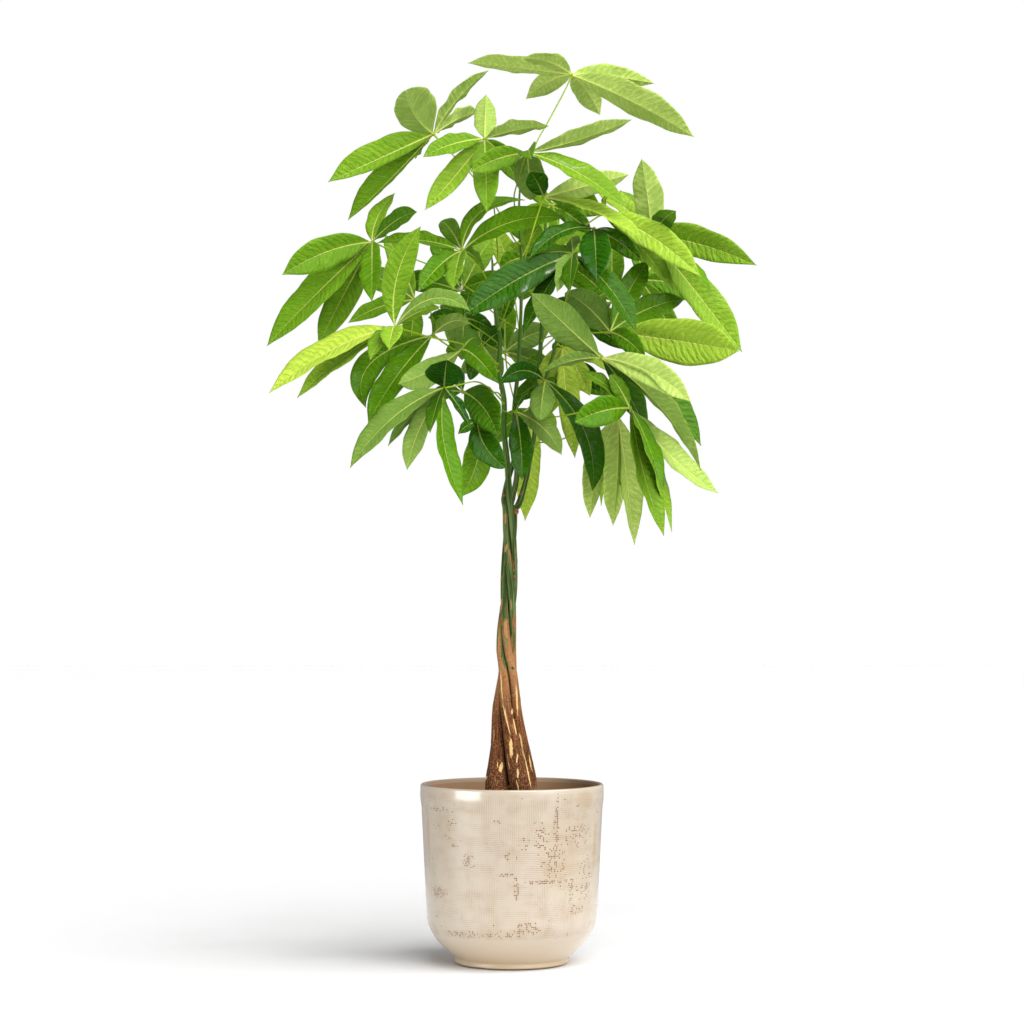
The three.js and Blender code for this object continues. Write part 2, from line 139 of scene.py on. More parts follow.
# The heights in metres between which the bark's dark foot, its light dots and its pits fade, its tan starts,
# the tan rubs on the green skin fade, and the skin turns young
DARK_FOOT_FADE = (0.2, 0.3)
DOTS_FADE = (0.16, 0.26)
PITS_FADE = (0.2, 0.34)
TAN_STARTS = (0.28, 0.36)
RUBS_FADE = (0.56, 0.66)
YOUNG_SKIN_STARTS = (0.5, 0.72)

# Crumbs of soil: how many are thrown, how far from the pot, their radius and how rare the large ones are, how
# uneven they are, and how they lie
CRUMBS = 1500
CRUMB_SEED = 11
CRUMB_MARGIN = 9
CRUMB_LEAST = 1.4
CRUMB_SPREAD = 4.2
CRUMB_RARITY = 2.2
CRUMB_JITTER = 0.25
CRUMB_GAP = 0.8
CRUMB_FLATNESS = 0.6
CRUMB_LIFT = 0.4

# The camera's place. A point seen from it is given as pixels across and down (of 1024), with millimetres back
# from the pot's axis
EYE_DISTANCE = 2900
EYE_HEIGHT = 424
EYE_TILT = math.radians(2.3)
FOCAL_PIXELS = 2403
FRAME_PIXELS = 1024
SENSOR_WIDTH = 36
VIEW_CENTRE = FRAME_PIXELS / 2
MM_PER_PIXEL = EYE_DISTANCE / FOCAL_PIXELS

# Each stem above the twist: seen points, with the radius there
SHOOTS = [
    [[509.5, 498, -7, 4.1], [507.5, 465, -8, 4], [504, 430, -8, 3.8], [504, 400, -8, 3.6],
     [499, 370, -8, 3.2], [500, 340, -8, 2.9], [494, 300, -10, 2.4], [492, 256, -10, 1.4]],
    [[512, 499, 8, 3.9], [516.5, 478, 6, 3.6], [516, 450, 8, 3.4], [514, 415, 8, 3.1], [518, 370, 10, 2.8],
     [521, 310, 10, 2.4], [521, 254, 8, 2.1], [519, 215, 6, 1.8], [520, 184, 5, 1.5]],
    [[518, 506, 2, 3.7], [524, 488, 3, 3.2], [532, 450, -4, 3], [539, 405, -12, 2.9], [546, 378, -18, 2.6],
     [553, 355, -26, 2.4], [561, 320, -42, 2]],
    [[504.5, 500, 2, 4.1], [508, 480, 10, 3.8], [521, 440, 26, 3.4], [536, 390, 34, 3.2], [541, 340, 36, 3],
     [543, 290, 34, 2.6], [545, 240, 28, 2], [546, 205, 24, 1.5]],
]

# A leaf's hub and stalk, in millimetres. A stalk is thinner by the waist in its middle, and its ends swell
# over a share of its length
HUB_RADIUS = 2.5
STALK_RADIUS = 1.1
STALK_LEAD = 5
STALK_GAP = 0.45
STALK_SINK = 1.2
STALK_WAIST = 0.25
STALK_SWELL = 0.05

# A blade: its length over its width at most, how its halves fold up, how far its midrib arches for its
# length, how its halves bulge, its width over its length from which its tip is blunt, how sharp other tips
# are, its half width at foot and tip at least, how uneven its margin is, how its rows crowd towards the ends
# and its columns towards the midrib, the midrib's half width and relief, how the side veins lean and bow,
# and where its outline is widest and how full it is
BLADE_SLIMNESS = 3.7
BLADE_FOLD = math.radians(16)
BLADE_ARCH = 0.07
BLADE_BULGE = 0.35
BROAD_BLADE = 0.4
SHARP_TIP = 0.45
FOOT_HALF_WIDTH = 0.9
TIP_HALF_WIDTH = 0.12
UNEVEN_MARGIN = 0.035
ROW_CROWDING = 0.06
COLUMN_CROWDING = 1.5
RIB_HALF_WIDTH = 1.2
RIB_ABOVE = 0.25
RIB_BELOW = 1.0
VEIN_LEAN = 0.45
VEIN_BOW = 0.012
OUTLINE_LEAN = 1.12
OUTLINE_FULLNESS = 0.62

# Every leaf: its name, the stem that carries it, the row of pixels where its stalk starts, the stalk's bends
# with its hub last (across, down, back), and its leaflets: tip across and down, how far the tip lies behind
# the hub, the width that shows (negative where the underside shows), how the midrib's middle bows across and
# down, how wide the halves on its left and right are for their size, seen from the hub, and how far its
# widest place lies towards the tip
LEAVES = [
    ["leaf_a", 2, 190, [[536, 144, 22], [548, 122, 26], [568, 84, 30], [571.5, 74.5, 30]], [
        [468, 63, 45, -18, 0, -1], [522, 58, -80, -16, 3, -4, 1.2, 1], [526, 99, 75, -23],
        [600, 115, 80, -27], [655, 83.5, 20, -23, -6, -3], [694, 137, -25, -33, 0, -4, 1, 0.9]]],
    ["leaf_b", 2, 243, [[496, 207, -5], [470, 173, -22], [445, 147, -30], [433.5, 134, -32]], [
        [406, 90, -95, -43, -5, 3, 0.85, 1.3], [489, 70, -15, -13, -5, -2], [478, 112, 85, -14, 0, -3],
        [328, 182, -20, 30, 0, 0, 0.6, 1.2, 0.95], [348, 220, 25, 24, 1, 1, 0.3, 1.25], [415, 159, 85, 12]]],
    ["leaf_c", 1, 266, [[497, 240, -12], [492, 190, -30], [487, 155, -50], [484.5, 139, -55]], [
        [486, 94.5, 80, -24, 0, 0], [549, 126, -70, -15, 0, -3], [423, 157, -60, 20, 0, -4],
        [425, 210, -40, 27, 1, 1, 0.75, 1], [487, 213, -45, 29], [519, 184, 75, 20]]],
    ["leaf_d", 2, 226, [[514, 198, -25], [519, 178, -50], [525, 158, -72], [527, 153, -75]], [
        [531, 159, -85, 22], [470, 172, -35, 24, 0, -4], [632, 119.5, -10, -17, 3, 2],
        [625, 207, -30, 20, 2, -7], [531, 200, 35, -33]]],
    ["leaf_e", 1, 301, [[480, 295, -14], [436, 268, -40], [395, 252, -56], [372.5, 242, -60]], [
        [395, 193, 60, 17, -6, 0], [417, 212, -70, 18, 1, -6], [282, 275, -30, 34], [267, 346, 0, 31, -1, -2],
        [318, 346, 30, 32, 1, -4], [372, 302, -75, 22]]],
    ["leaf_f", 1, 291, [[485, 276, -25], [475, 263, -42], [462, 251, -50]], [
        [377, 243, 35, 14], [565, 218, -10, 25, -3, -12], [418, 292, -70, 22], [453, 290, -85, 18],
        [485, 272, 75, 10], [525, 200, 20, 17, -13, -13], [441, 221, 70, 20]]],
    ["leaf_g", 1, 365, [[465, 345, -62], [430, 337, -90], [395, 327, -120]], [
        [421, 226, -20, 29, -11, 0], [269, 393, 10, 24, 0, -10], [297, 398, 45, 20, -1, -6],
        [370, 360, -80, 16], [389, 350, -90, 22], [470, 311, -30, 18, 0, -20], [440, 307, 40, 13],
        [401, 341, 35, 10]]],
    ["leaf_h", 1, 368, [[475, 361, -25], [450, 347, -45], [433, 335, -60]], [
        [366, 408, -20, 28, -29, -8], [368, 424, -50, 28, -3, -4], [432, 316, 70, 8],
        [470, 324, -30, -16, 0, -8], [452, 318, 45, 14]]],
    ["leaf_i", 1, 372, [[480, 360, -45], [461, 350, -62]], [
        [398, 384, -62, -25, 0, 4, 1.2, 1], [499, 384, -40, 22, -4, -10], [480, 338, 75, 20]]],
    ["leaf_j", 1, 404, [[478, 382, -80], [455, 386, -120], [444, 388, -140]], [
        [447, 360, -75, 42], [463, 505, -20, 21, -10, -4], [470, 427, 10, 10], [350, 468, -20, 25, -4, -10],
        [407, 470, -10, 23, -5, -2], [430, 433, -70, 14], [388, 446, 30, 14]]],
    ["leaf_k", 1, 396, [[485, 393, -22], [463, 392, -44]], [
        [497, 434, -60, 34, 3, -6], [493, 406, 55, 26], [446, 372, 70, 14], [432, 398, 50, 16]]],
    ["leaf_l", 2, 411, [[500, 410, -40], [488, 413, -65], [478, 422, -75]], [
        [458, 434, -40, 12], [505, 468, -20, 30, -7, 0], [461, 497, 20, 30, 8, 0]]],
    ["leaf_m", 2, 405, [[516, 409, -25], [516, 412, -45]], [
        [522, 480, -25, 25, 2, 0], [561.5, 455, -40, -21, 4, -6], [527, 393, 60, 8]]],
    ["leaf_n", 3, 386, [[544.5, 383, -35], [545, 381, -50]], [
        [592, 492, -20, 27, 16, -5], [499, 384, -60, 20, 0, -12], [540, 420, -50, -26], [571, 400, 60, 8]]],
    ["leaf_o", 3, 423, [[562, 416, -72], [600, 409, -100], [630, 408, -110]], [
        [575, 422, -50, 31, 0, -4], [664, 536, -10, 22, -4, 0], [663, 490, -60, 14], [672, 532, 20, 12],
        [718, 493, 45, 22, -4, 5], [581, 371, 15, 12], [610, 375, 0, 16]]],
    ["leaf_p", 3, 446, [[560, 440, -15], [590, 425, -25], [618, 415, -35]], [
        [590, 518, -10, -24, -5, -4], [613, 526, 0, -25, 2, -3], [634.5, 545, -25, -23], [601, 506, 40, 10]]],
    ["leaf_q", 3, 347, [[575, 346, -36], [592, 347, -85], [601, 358, -100]], [
        [531, 293, -50, -36, 0, 0], [691, 402, -50, 29, 2, -9], [701, 471, -45, -19, 6, -12],
        [701, 446, 25, 28, 9, -9], [543, 372, -30, -12], [648, 434, 75, 25]]],
    ["leaf_r", 4, 338, [[565, 334, -5], [590, 333, -40], [610, 332, -60]], [
        [739, 351, -40, 50, 0, -1, 1, 0.95, 1.45], [648, 262, 20, 26], [646, 359, -60, 22],
        [565, 293, 60, -35], [684, 300, 55, 26]]],
    ["leaf_s", 3, 352, [[560, 349, -22], [562, 347, -20]], [
        [575, 458, 20, 24, -2, -2], [540, 388, 25, 20], [590, 396, 20, 22], [612, 372, 60, 16]]],
    ["leaf_t", 4, 292, [[575, 265, 10], [620, 248, -5], [652, 238, -20]], [
        [641.5, 158.5, -30, -30, 1, 0, 1, 1.1, 1], [595, 189, 45, 18], [621, 191, 85, 14],
        [676, 211, -85, 22], [757, 265.5, -35, 33, -7, -8, 1.15, 0.9, 0.95], [742, 352, 15, 34, 1, 0],
        [711, 295, -70, 8]]],
    ["leaf_u", 4, 262, [[565, 240, -5], [590, 222, -45], [602, 214, -60]], [
        [701, 277, -30, 30], [675, 292, 0, 20], [608, 190, -20, 5]]],
    ["leaf_v", 3, 331, [[565, 305, -60], [569, 285, -80], [573, 254, -105]], [
        [462, 317, -40, 35, 0, -6], [523, 334, -20, 18], [557, 292, -60, -16], [570, 292, -80, 16],
        [636, 332, -50, 22, 4, -6], [571, 238, 75, -16], [530, 262, 75, 12]]],
    ["leaf_w", 4, 250, [[560, 238, -10], [585, 228, -70], [594, 229, -85]], [
        [597, 281, -75, 33], [528, 260, -40, 17, 0, -12], [642, 262, -20, 20]]],
    ["leaf_x", 1, 330, [[510, 300, -50], [524, 262, -80], [533, 230, -85], [543.5, 197, -60]], [
        [530, 172, -50, 24], [629, 174.5, 15, -24, 1, 0], [643, 240, -60, 12, 2, -7], [600, 205, 40, 24]]],
    ["leaf_y", 2, 330, [[500, 318, 50], [475, 298, 85], [462, 292, 95]], [
        [400, 282, 30, 24], [432, 238, 40, 24], [493, 238, 60, 26], [452, 350, 30, 24]]],
    ["leaf_z", 4, 345, [[570, 325, 70], [600, 305, 100], [612, 302, 110]], [
        [560, 262, 30, 24], [612, 235, 40, 26], [668, 262, 30, 26], [672, 330, 20, 24], [575, 335, 50, 22]]],
    ["leaf_aa", 4, 300, [[548, 270, 80], [548, 255, 130]], [
        [500, 215, 50, 24], [548, 200, 60, 24], [596, 238, 50, 26], [590, 290, 40, 26], [520, 300, 50, 26]]],
    ["leaf_bb", 2, 400, [[508, 375, 60], [505, 352, 95]], [
        [455, 325, 50, 24], [462, 372, 30, 24], [505, 300, 50, 24], [548, 330, 40, 26], [555, 375, 30, 24]]],
    ["leaf_cc", 4, 415, [[529, 412, 50], [530, 408, 75]], [
        [525, 521, -20, 25, 4, -2], [575, 385, 30, 22], [490, 445, 20, 22], [555, 430, 40, 20]]],
    ["leaf_dd", 2, 360, [[480, 340, 40], [440, 310, 80], [415, 300, 95]], [
        [350, 270, 20, 26], [385, 235, 40, 22], [348, 323, 10, 18], [410, 355, 30, 22]]],
    ["leaf_ee", 4, 320, [[590, 300, 50], [640, 280, 70]], [
        [690, 240, 40, 26], [715, 300, 30, 28], [680, 350, 20, 24], [640, 230, 50, 22]]],
]

# Leaves that fill the inside and the back of the crown, in the same form
INNER_LEAVES = [
    ["inner_1", 2, 330, [[515, 300, 50], [512, 285, 70], [511, 278, 75]], [
        [497, 232, 20, 24], [534, 236, 10, 22], [462, 290, -10, 20], [548, 288, 0, 24], [500, 322, -20, 24]]],
    ["inner_2", 4, 262, [[558, 238, 40], [556, 215, 50], [552, 206, 55]], [
        [604, 214, -10, 20], [592, 234, -10, 20], [530, 190, 10, 16], [520, 226, 0, 22], [575, 196, 20, 12]]],
    ["inner_3", 3, 420, [[548, 400, 30], [552, 385, 50], [553, 378, 55]], [
        [515, 400, -10, 20], [612, 396, -10, 18], [586, 366, 0, 18], [548, 415, -20, 24],
        [530, 358, 20, 20]]],
    ["inner_4", 1, 345, [[480, 330, 30], [468, 322, 45], [464, 318, 50]], [
        [492, 330, -10, 18], [440, 306, 0, 18], [428, 318, 0, 14], [470, 290, 0, 20], [462, 360, -20, 20]]],
    ["inner_5", 4, 330, [[560, 320, 60], [575, 322, 75], [584, 324, 80]], [
        [626, 350, -20, 18], [622, 318, 0, 22], [560, 352, -20, 22], [556, 300, 0, 20], [604, 292, 10, 20]]],
    ["inner_6", 2, 372, [[505, 360, 40], [490, 350, 60], [482, 346, 65]], [
        [502, 376, -20, 20], [470, 380, -20, 20], [446, 352, 0, 20], [504, 330, 0, 20], [474, 318, 0, 18]]],
    ["inner_7", 3, 372, [[562, 366, 10], [570, 362, 30], [576, 361, 35]], [
        [600, 392, -20, 16], [556, 384, -20, 18], [552, 345, 0, 20], [584, 340, 0, 16]]],
    ["inner_8", 4, 290, [[540, 270, 60], [528, 262, 70], [522, 258, 75]], [
        [500, 268, -20, 22], [508, 246, 0, 18], [540, 225, 0, 22], [546, 275, -10, 22]]],
]

# How young each leaflet is, in the order of its leaf's row: 0 is old, dark and glossy, 1 is young and pale.
# A leaf that isn't listed is about of middle age. A leaflet with a minus is turned over. The ages follow how
# light each leaflet looks: the low ages in the middle and inside of the crown are partly painted shade
STAGES = ("old", "grown", "fresh", "young")
MIDDLE_AGE = 0.42
AGE_SPREAD = 0.16
AGES = {
    "leaf_a": [0.82, 0.82, 0.74, 0.8, 0.76, 0.82],
    "leaf_b": [0.55, 0.55, 0.6, 0.5, 0.42, 0.5],
    "leaf_c": [0.55, 0.62, 0.45, 0.62, 0.45, 0.4],
    "leaf_d": [0.4, 0.45, 0.66, 0.52, 0.35],
    "leaf_e": [0.5, 0.25, 0.42, 0.42, 0.42, 0.35],
    "leaf_f": [0.4, 0.35, 0.3, 0.5, 0.4, 0.4, 0.4],
    "leaf_g": [0.5, 0.95, 0.65, 0.5, 0.62, -0.3, 0.5, 0.5],
    "leaf_h": [0.32, 0.3, 0.3, 0.4, 0.4],
    "leaf_i": [0.4, 0.3, 0.3],
    "leaf_j": [0.02, 0.34, 0.04, -0.3, -0.42, 0.2, -0.25],
    "leaf_k": [0.2, 0.2, 0.2, 0.2],
    "leaf_l": [0.1, 0.1, 0.4],
    "leaf_m": [0.1, 0.4, 0.2],
    "leaf_n": [0.1, 0.05, 0.3, 0.2],
    "leaf_o": [0.3, 0.5, 0.3, 0.6, -0.62, 0.4, 0.4],
    "leaf_p": [0.74, 0.74, 0.84, 0.66],
    "leaf_q": [0.32, -0.72, 0.5, 0.25, 0.3, 0.15],
    "leaf_r": [0.76, 0.3, 0.3, 0.2, 0.35],
    "leaf_s": [0.95, 0.9, 0.9, 0.8],
    "leaf_t": [0.62, 0.7, 0.5, 0.4, 0.58, 0.6, 0.4],
    "leaf_u": [0.74, 0.6, 0.7],
    "leaf_v": [0.1, 0.1, 0.3, 0.2, 0.15, 0.3, 0.3],
    "leaf_w": [0.05, 0.1, 0.2],
    "leaf_x": [0.1, 0.7, 0.8, 0.4],
    "leaf_y": [0.3, 0.3, 0.5, -0.3],
    "leaf_z": [0.3, 0.4, -0.3, -0.5, -0.2],
    "leaf_bb": [-0.3, -0.2, 0.4, -0.3, -0.2],
    "leaf_cc": [0.9, 0.4, 0.3, 0.6],
    "inner_1": [0.75, 0.5, 0.3, 0.6, 0.2],
    "inner_2": [0.6, 0.3, 0.5, 0.5, 0.4],
    "inner_3": [0.2, 0.3, 0.6, 0.7, 0.4],
    "inner_4": [0.12, 0.3, 0.1, 0.2, -0.2],
    "inner_5": [0.15, 0.3, -0.25, 0.1, 0.3],
    "inner_6": [-0.25, 0.12, 0.3, 0.1, -0.3],
    "inner_7": [0.1, -0.3, 0.2, -0.15],
    "inner_8": [0.35, 0.6, 0.5, 0.15],
}

# Marks on the trunk's side that faces the camera: seen across and down in pixels, half its width and height
# there, and its slant in degrees. Pale streaks in the bark, green skin that shows below its end, tan rubs
# above it
PALE_MARKS = [
    [501.5, 686, 0.6, 17, -4], [506.5, 719, 0.7, 18, -14], [511, 747, 1.8, 10, -4], [515, 727, 0.7, 10, -12],
    [501, 767, 2, 5, 10], [517, 758, 0.8, 6, 8], [517.8, 772, 1.2, 5, 0], [527.5, 770, 0.6, 18, -12],
    [517, 700, 1, 16, -3], [512.3, 711, 1.2, 3, 0], [492, 710, 0.5, 12, 4], [486, 778, 0.8, 3, 30],
    [509, 786, 1.4, 2, 0],
]
GREEN_MARKS = [[503.5, 657, 2.2, 13, -8], [507, 665, 1.4, 7, -10], [498, 690, 1.4, 3, 0],
               [512.5, 668, 2.4, 1.4, 0], [514, 640, 1.6, 16, -3], [498, 628, 1.2, 12, 0]]
TAN_MARKS = [[505.5, 518, 1.1, 7, 0], [511.5, 560, 1.4, 12, -12], [506, 548, 1.6, 5, 20],
             [500.5, 607, 1.6, 9, 8], [506, 628, 2.6, 10, -6], [499, 640, 1.2, 12, 4]]

# Scars where old leaves fell: the stem, its height, the side it faces in degrees (-90 is the front), its
# radius
SCARS = [
    [4, 560, -100, 2.6], [3, 541, -60, 4.2], [2, 517, -30, 2.6], [1, 462, -110, 2.8], [1, 600, 80, 2.4],
    [2, 640, 170, 2.2], [4, 610, 60, 2.4], [3, 480, 100, 2.8], [2, 430, 60, 3], [4, 420, 150, 3],
    [1, 395, -20, 3.2], [3, 360, 10, 3.6], [2, 700, -80, 2], [1, 690, -150, 2], [4, 730, 0, 2],
]


def linear(red, green, blue):
    """A screen colour, 0 to 255, as the linear colour that Blender works in."""
    share = np.array([red, green, blue]) / 255
    return tuple(np.where(share <= 0.04045, share / 12.92, ((share + 0.055) / 1.055) ** 2.4))


def unit(vectors):
    """Vectors of length one, along the last axis."""
    return vectors / np.linalg.norm(vectors, axis=-1, keepdims=True)


def seen(point):
    """Where a point of the camera's view lies: the ray through the pixel, met at that distance back."""
    across, down, back = point
    u = (across - VIEW_CENTRE) / FOCAL_PIXELS
    v = (VIEW_CENTRE - down) / FOCAL_PIXELS
    reach = (back + EYE_DISTANCE) / (math.cos(EYE_TILT) - v * math.sin(EYE_TILT))
    return np.array([reach * u, back, EYE_HEIGHT + reach * (math.sin(EYE_TILT) + v * math.cos(EYE_TILT))])


def smooth_curve(knots, places):
    """Centripetal Catmull-Rom through the knots: a cubic between each two, whose slopes at its ends come
    from the neighbours, each weighed by the root of its distance. A place is a knot's number, with its
    fraction."""
    knots = np.asarray(knots, float)
    padded = np.vstack([2 * knots[0] - knots[1], knots, 2 * knots[-1] - knots[-2]])
    first = np.clip(np.floor(places).astype(int), 0, len(knots) - 2)
    w = (places - first)[:, None]
    p0, p1, p2, p3 = (padded[first + k] for k in range(4))
    d0, d1, d2 = (np.linalg.norm(b - a, axis=1)[:, None] ** 0.5 for a, b in ((p0, p1), (p1, p2), (p2, p3)))
    slope1 = ((p1 - p0) / d0 - (p2 - p0) / (d0 + d1) + (p2 - p1) / d1) * d1
    slope2 = ((p2 - p1) / d1 - (p3 - p1) / (d1 + d2) + (p3 - p2) / d2) * d1
    c2 = -3 * p1 + 3 * p2 - 2 * slope1 - slope2
    c3 = 2 * p1 - 2 * p2 + slope1 + slope2
    return p1 + w * (slope1 + w * (c2 + w * c3))


def path_length(points):
    """The length along a path at each of its points."""
    return np.concatenate([[0], np.cumsum(np.linalg.norm(np.diff(points, axis=0), axis=1))])


def carried_frames(points, first_across):
    """Two directions across a path at each of its points, carried along it without twisting: the first one is
    made perpendicular to the path again at every step, and the second is their cross product."""
    before = np.vstack([points[:1], points[:-1]])
    after = np.vstack([points[1:], points[-1:]])
    along = unit(after - before)
    across = np.empty_like(points)
    last = np.asarray(first_across, float)
    for k, direction in enumerate(along):
        last = last - direction * (last @ direction)
        last /= np.linalg.norm(last)
        across[k] = last
    return across, np.cross(across, along)


def quadratic(start, bend, end, share):
    """A quadratic Bezier: (1-t)^2 start + 2t(1-t) bend + t^2 end."""
    t = np.asarray(share)[:, None]
    return (1 - t) ** 2 * start + 2 * t * (1 - t) * bend + t**2 * end


class Shells:
    """Closed surfaces gathered for one piece: each is a grid of rings, joined ring to ring and capped."""

    def __init__(self):
        self.points = []
        self.quads = []
        self.caps = []
        self.fields = {}
        self.count = 0

    def add(self, rings, **fields):
        """rings holds points as [station, place round the ring, xyz]. Its faces are turned outwards: their
        signed volume, a third of the sum of centre times area, comes out positive."""
        stations, around, _ = rings.shape
        ids = np.arange(stations * around).reshape(stations, around)
        after = np.roll(ids, -1, axis=1)
        quads = np.stack([ids[:-1], after[:-1], after[1:], ids[1:]], axis=-1).reshape(-1, 4)
        caps = [ids[0][::-1], ids[-1]]
        flat = rings.reshape(-1, 3)
        middle = flat.mean(axis=0)
        corner = flat[quads] - middle
        area = np.cross(corner[:, 2] - corner[:, 0], corner[:, 3] - corner[:, 1])
        if (corner.mean(axis=1) * area).sum() < 0:
            quads = quads[:, ::-1]
            caps = [cap[::-1] for cap in caps]
        self.points.append(flat)
        self.quads.append(quads + self.count)
        self.caps += [(cap + self.count).tolist() for cap in caps]
        for name, values in fields.items():
            self.fields.setdefault(name, []).append(np.broadcast_to(values, rings.shape).reshape(-1, 3))
        self.count += len(flat)

    def piece(self, name, material):
        """The gathered surfaces as one object, in metres, at the origin."""
        faces = np.vstack(self.quads).tolist() + self.caps
        made = mesh_piece(name, np.vstack(self.points), faces, material)
        for field_name, values in self.fields.items():
            attribute = made.data.attributes.new(field_name, "FLOAT_VECTOR", "POINT")
            attribute.data.foreach_set("vector", np.vstack(values).astype(np.float32).ravel())
        return made


def mesh_piece(name, points, faces, material):
    """A smooth-shaded object from points in millimetres."""
    mesh = bpy.data.meshes.new(name)
    mesh.from_pydata((np.asarray(points) / METRE).tolist(), [], faces)
    mesh.shade_smooth()
    mesh.materials.append(material)
    made = bpy.data.objects.new(name, mesh)
    bpy.context.scene.collection.objects.link(made)
    return made


def tube(points, radii, sides, first_across):
    """Rings of a round tube: point + radius (cos a across + sin a up)."""
    across, up = carried_frames(points, first_across)
    angle = np.arange(sides) * 2 * math.pi / sides
    ring = np.cos(angle)[None, :, None] * across[:, None] + np.sin(angle)[None, :, None] * up[:, None]
    return points[:, None] + np.broadcast_to(radii, (len(points), sides))[..., None] * ring


def ball(centre, axis, long_radius, radius, sides=12, rows=9):
    """Rings of an ellipsoid of revolution: its radius follows a sine from pole to pole along its axis."""
    turn = np.linspace(0.12, math.pi - 0.12, rows)
    points = centre - np.cos(turn)[:, None] * long_radius * unit(np.asarray(axis, float))
    not_along_it = [0.31, 0.87, 0.38]
    return tube(points, (np.sin(turn) * radius)[:, None], sides, np.cross(axis, not_along_it))


# Materials

class Value:
    """What a node puts out. Its operators add Math nodes to the node's tree."""

    def __init__(self, socket):
        self.socket = socket
        self.tree = socket.id_data

    def math(self, operation, *others):
        return put(self.tree, "Math", dict(enumerate((self, *others))), operation=operation)

    def __add__(self, other):
        return self.math("ADD", other)

    def __sub__(self, other):
        return self.math("SUBTRACT", other)

    def __rsub__(self, other):
        return put(self.tree, "Math", {0: other, 1: self}, operation="SUBTRACT")

    def __mul__(self, other):
        return self.math("MULTIPLY", other)

    def __truediv__(self, other):
        return self.math("DIVIDE", other)

    def most(self, other):
        return self.math("MAXIMUM", other)


def feed(node, inputs):
    """Links the inputs that are given as a Value, and sets the others."""
    for name, value in inputs.items():
        if isinstance(value, Value):
            node.id_data.links.new(value.socket, node.inputs[name])
        else:
            node.inputs[name].default_value = value


def put(tree, kind, inputs=None, out=0, **settings):
    """Adds a node and gives what it puts out."""
    made = tree.nodes.new("ShaderNode" + kind)
    for name, value in settings.items():
        setattr(made, name, value)
    feed(made, inputs or {})
    return Value(made.outputs[out])


def parts(vector):
    """The three numbers of a vector."""
    node = put(vector.tree, "SeparateXYZ", {0: vector}).socket.node
    return [Value(socket) for socket in node.outputs]


def size_of(vector):
    """The length of a vector."""
    return put(vector.tree, "VectorMath", {0: vector}, "Value", operation="LENGTH")


def field(tree, name):
    """A vector attribute of the piece."""
    return put(tree, "Attribute", out="Vector", attribute_name=name, attribute_type="GEOMETRY")


def step(value, low, high, start=0.0, end=1.0):
    """A smooth step: start where the value is under low, end where it is over high."""
    inputs = {"Value": value, "From Min": low, "From Max": high, "To Min": start, "To Max": end}
    return put(value.tree, "MapRange", inputs, interpolation_type="SMOOTHSTEP")


def blend(share, first, second, way="MIX"):
    """Two colours mixed by the share of the second."""
    tree = next(value.tree for value in (share, first, second) if isinstance(value, Value))
    first, second = (colour if isinstance(colour, Value) else (*colour, 1) for colour in (first, second))
    return put(tree, "Mix", {0: share, 6: first, 7: second}, 2, data_type="RGBA", blend_type=way)


def tinted(colour, tint):
    """A colour multiplied by another."""
    return blend(1.0, colour, tint, "MULTIPLY")


def painted(colour, *layers):
    """A colour with others laid over it, each by its share."""
    for share, over in layers:
        colour = blend(share, colour, over)
    return colour


def mottle_group():
    """A node group for cloudy variation from 0 to 1, shared by the materials."""
    made = bpy.data.node_groups.get("mottle")
    if made:
        return made
    made = bpy.data.node_groups.new("mottle", "ShaderNodeTree")
    for name, kind in (("Place", "Vector"), ("Size mm", "Float"), ("Contrast", "Float")):
        made.interface.new_socket(name, in_out="INPUT", socket_type=f"NodeSocket{kind}")
    made.interface.new_socket("Cloud", in_out="OUTPUT", socket_type="NodeSocketFloat")
    place, size, contrast = (Value(socket) for socket in made.nodes.new("NodeGroupInput").outputs[:3])
    scale = put(made, "Math", {0: METRE, 1: size}, operation="DIVIDE")
    noise = put(made, "TexNoise", {"Vector": place, "Scale": scale, "Detail": 4.0})
    cloud = put(made, "Clamp", {0: (noise - 0.5) * contrast + 0.5})
    feed(made.nodes.new("NodeGroupOutput"), {"Cloud": cloud})
    return made


def mottle(place, size, contrast):
    """The mottle group placed in a material, with clouds of that size in millimetres."""
    inputs = {"Place": place, "Size mm": size, "Contrast": contrast}
    return put(place.tree, "Group", inputs, node_tree=mottle_group())


def stretched(place, *sizes):
    """Noise whose clouds have those sizes, in the units of the place."""
    mapped = put(place.tree, "Mapping", {"Vector": place, "Scale": tuple(1 / size for size in sizes)})
    return put(place.tree, "TexNoise", {"Vector": mapped, "Scale": 1.0, "Detail": 3.0})


def bump(height, millimetres, strength=1.0):
    """A relief of that depth from a height of 0 to 1."""
    inputs = {"Height": height, "Distance": millimetres / METRE, "Strength": strength}
    return put(height.tree, "Bump", inputs)


def ellipse(place, middle, half_sizes, slant=0.0):
    """How far a place lies from the middle of an ellipse: 1 is its edge. Its slant turns it about Y."""
    inputs = {"Vector": place, "Location": middle, "Rotation": (0, slant, 0), "Scale": half_sizes}
    return size_of(put(place.tree, "Mapping", inputs, vector_type="TEXTURE"))


def blank_material(name):
    """A material with its Principled shader and its object coordinates."""
    made = bpy.data.materials.new(name)
    made.use_nodes = True
    return made, made.node_tree.nodes["Principled BSDF"], put(made.node_tree, "TexCoord", out="Object")


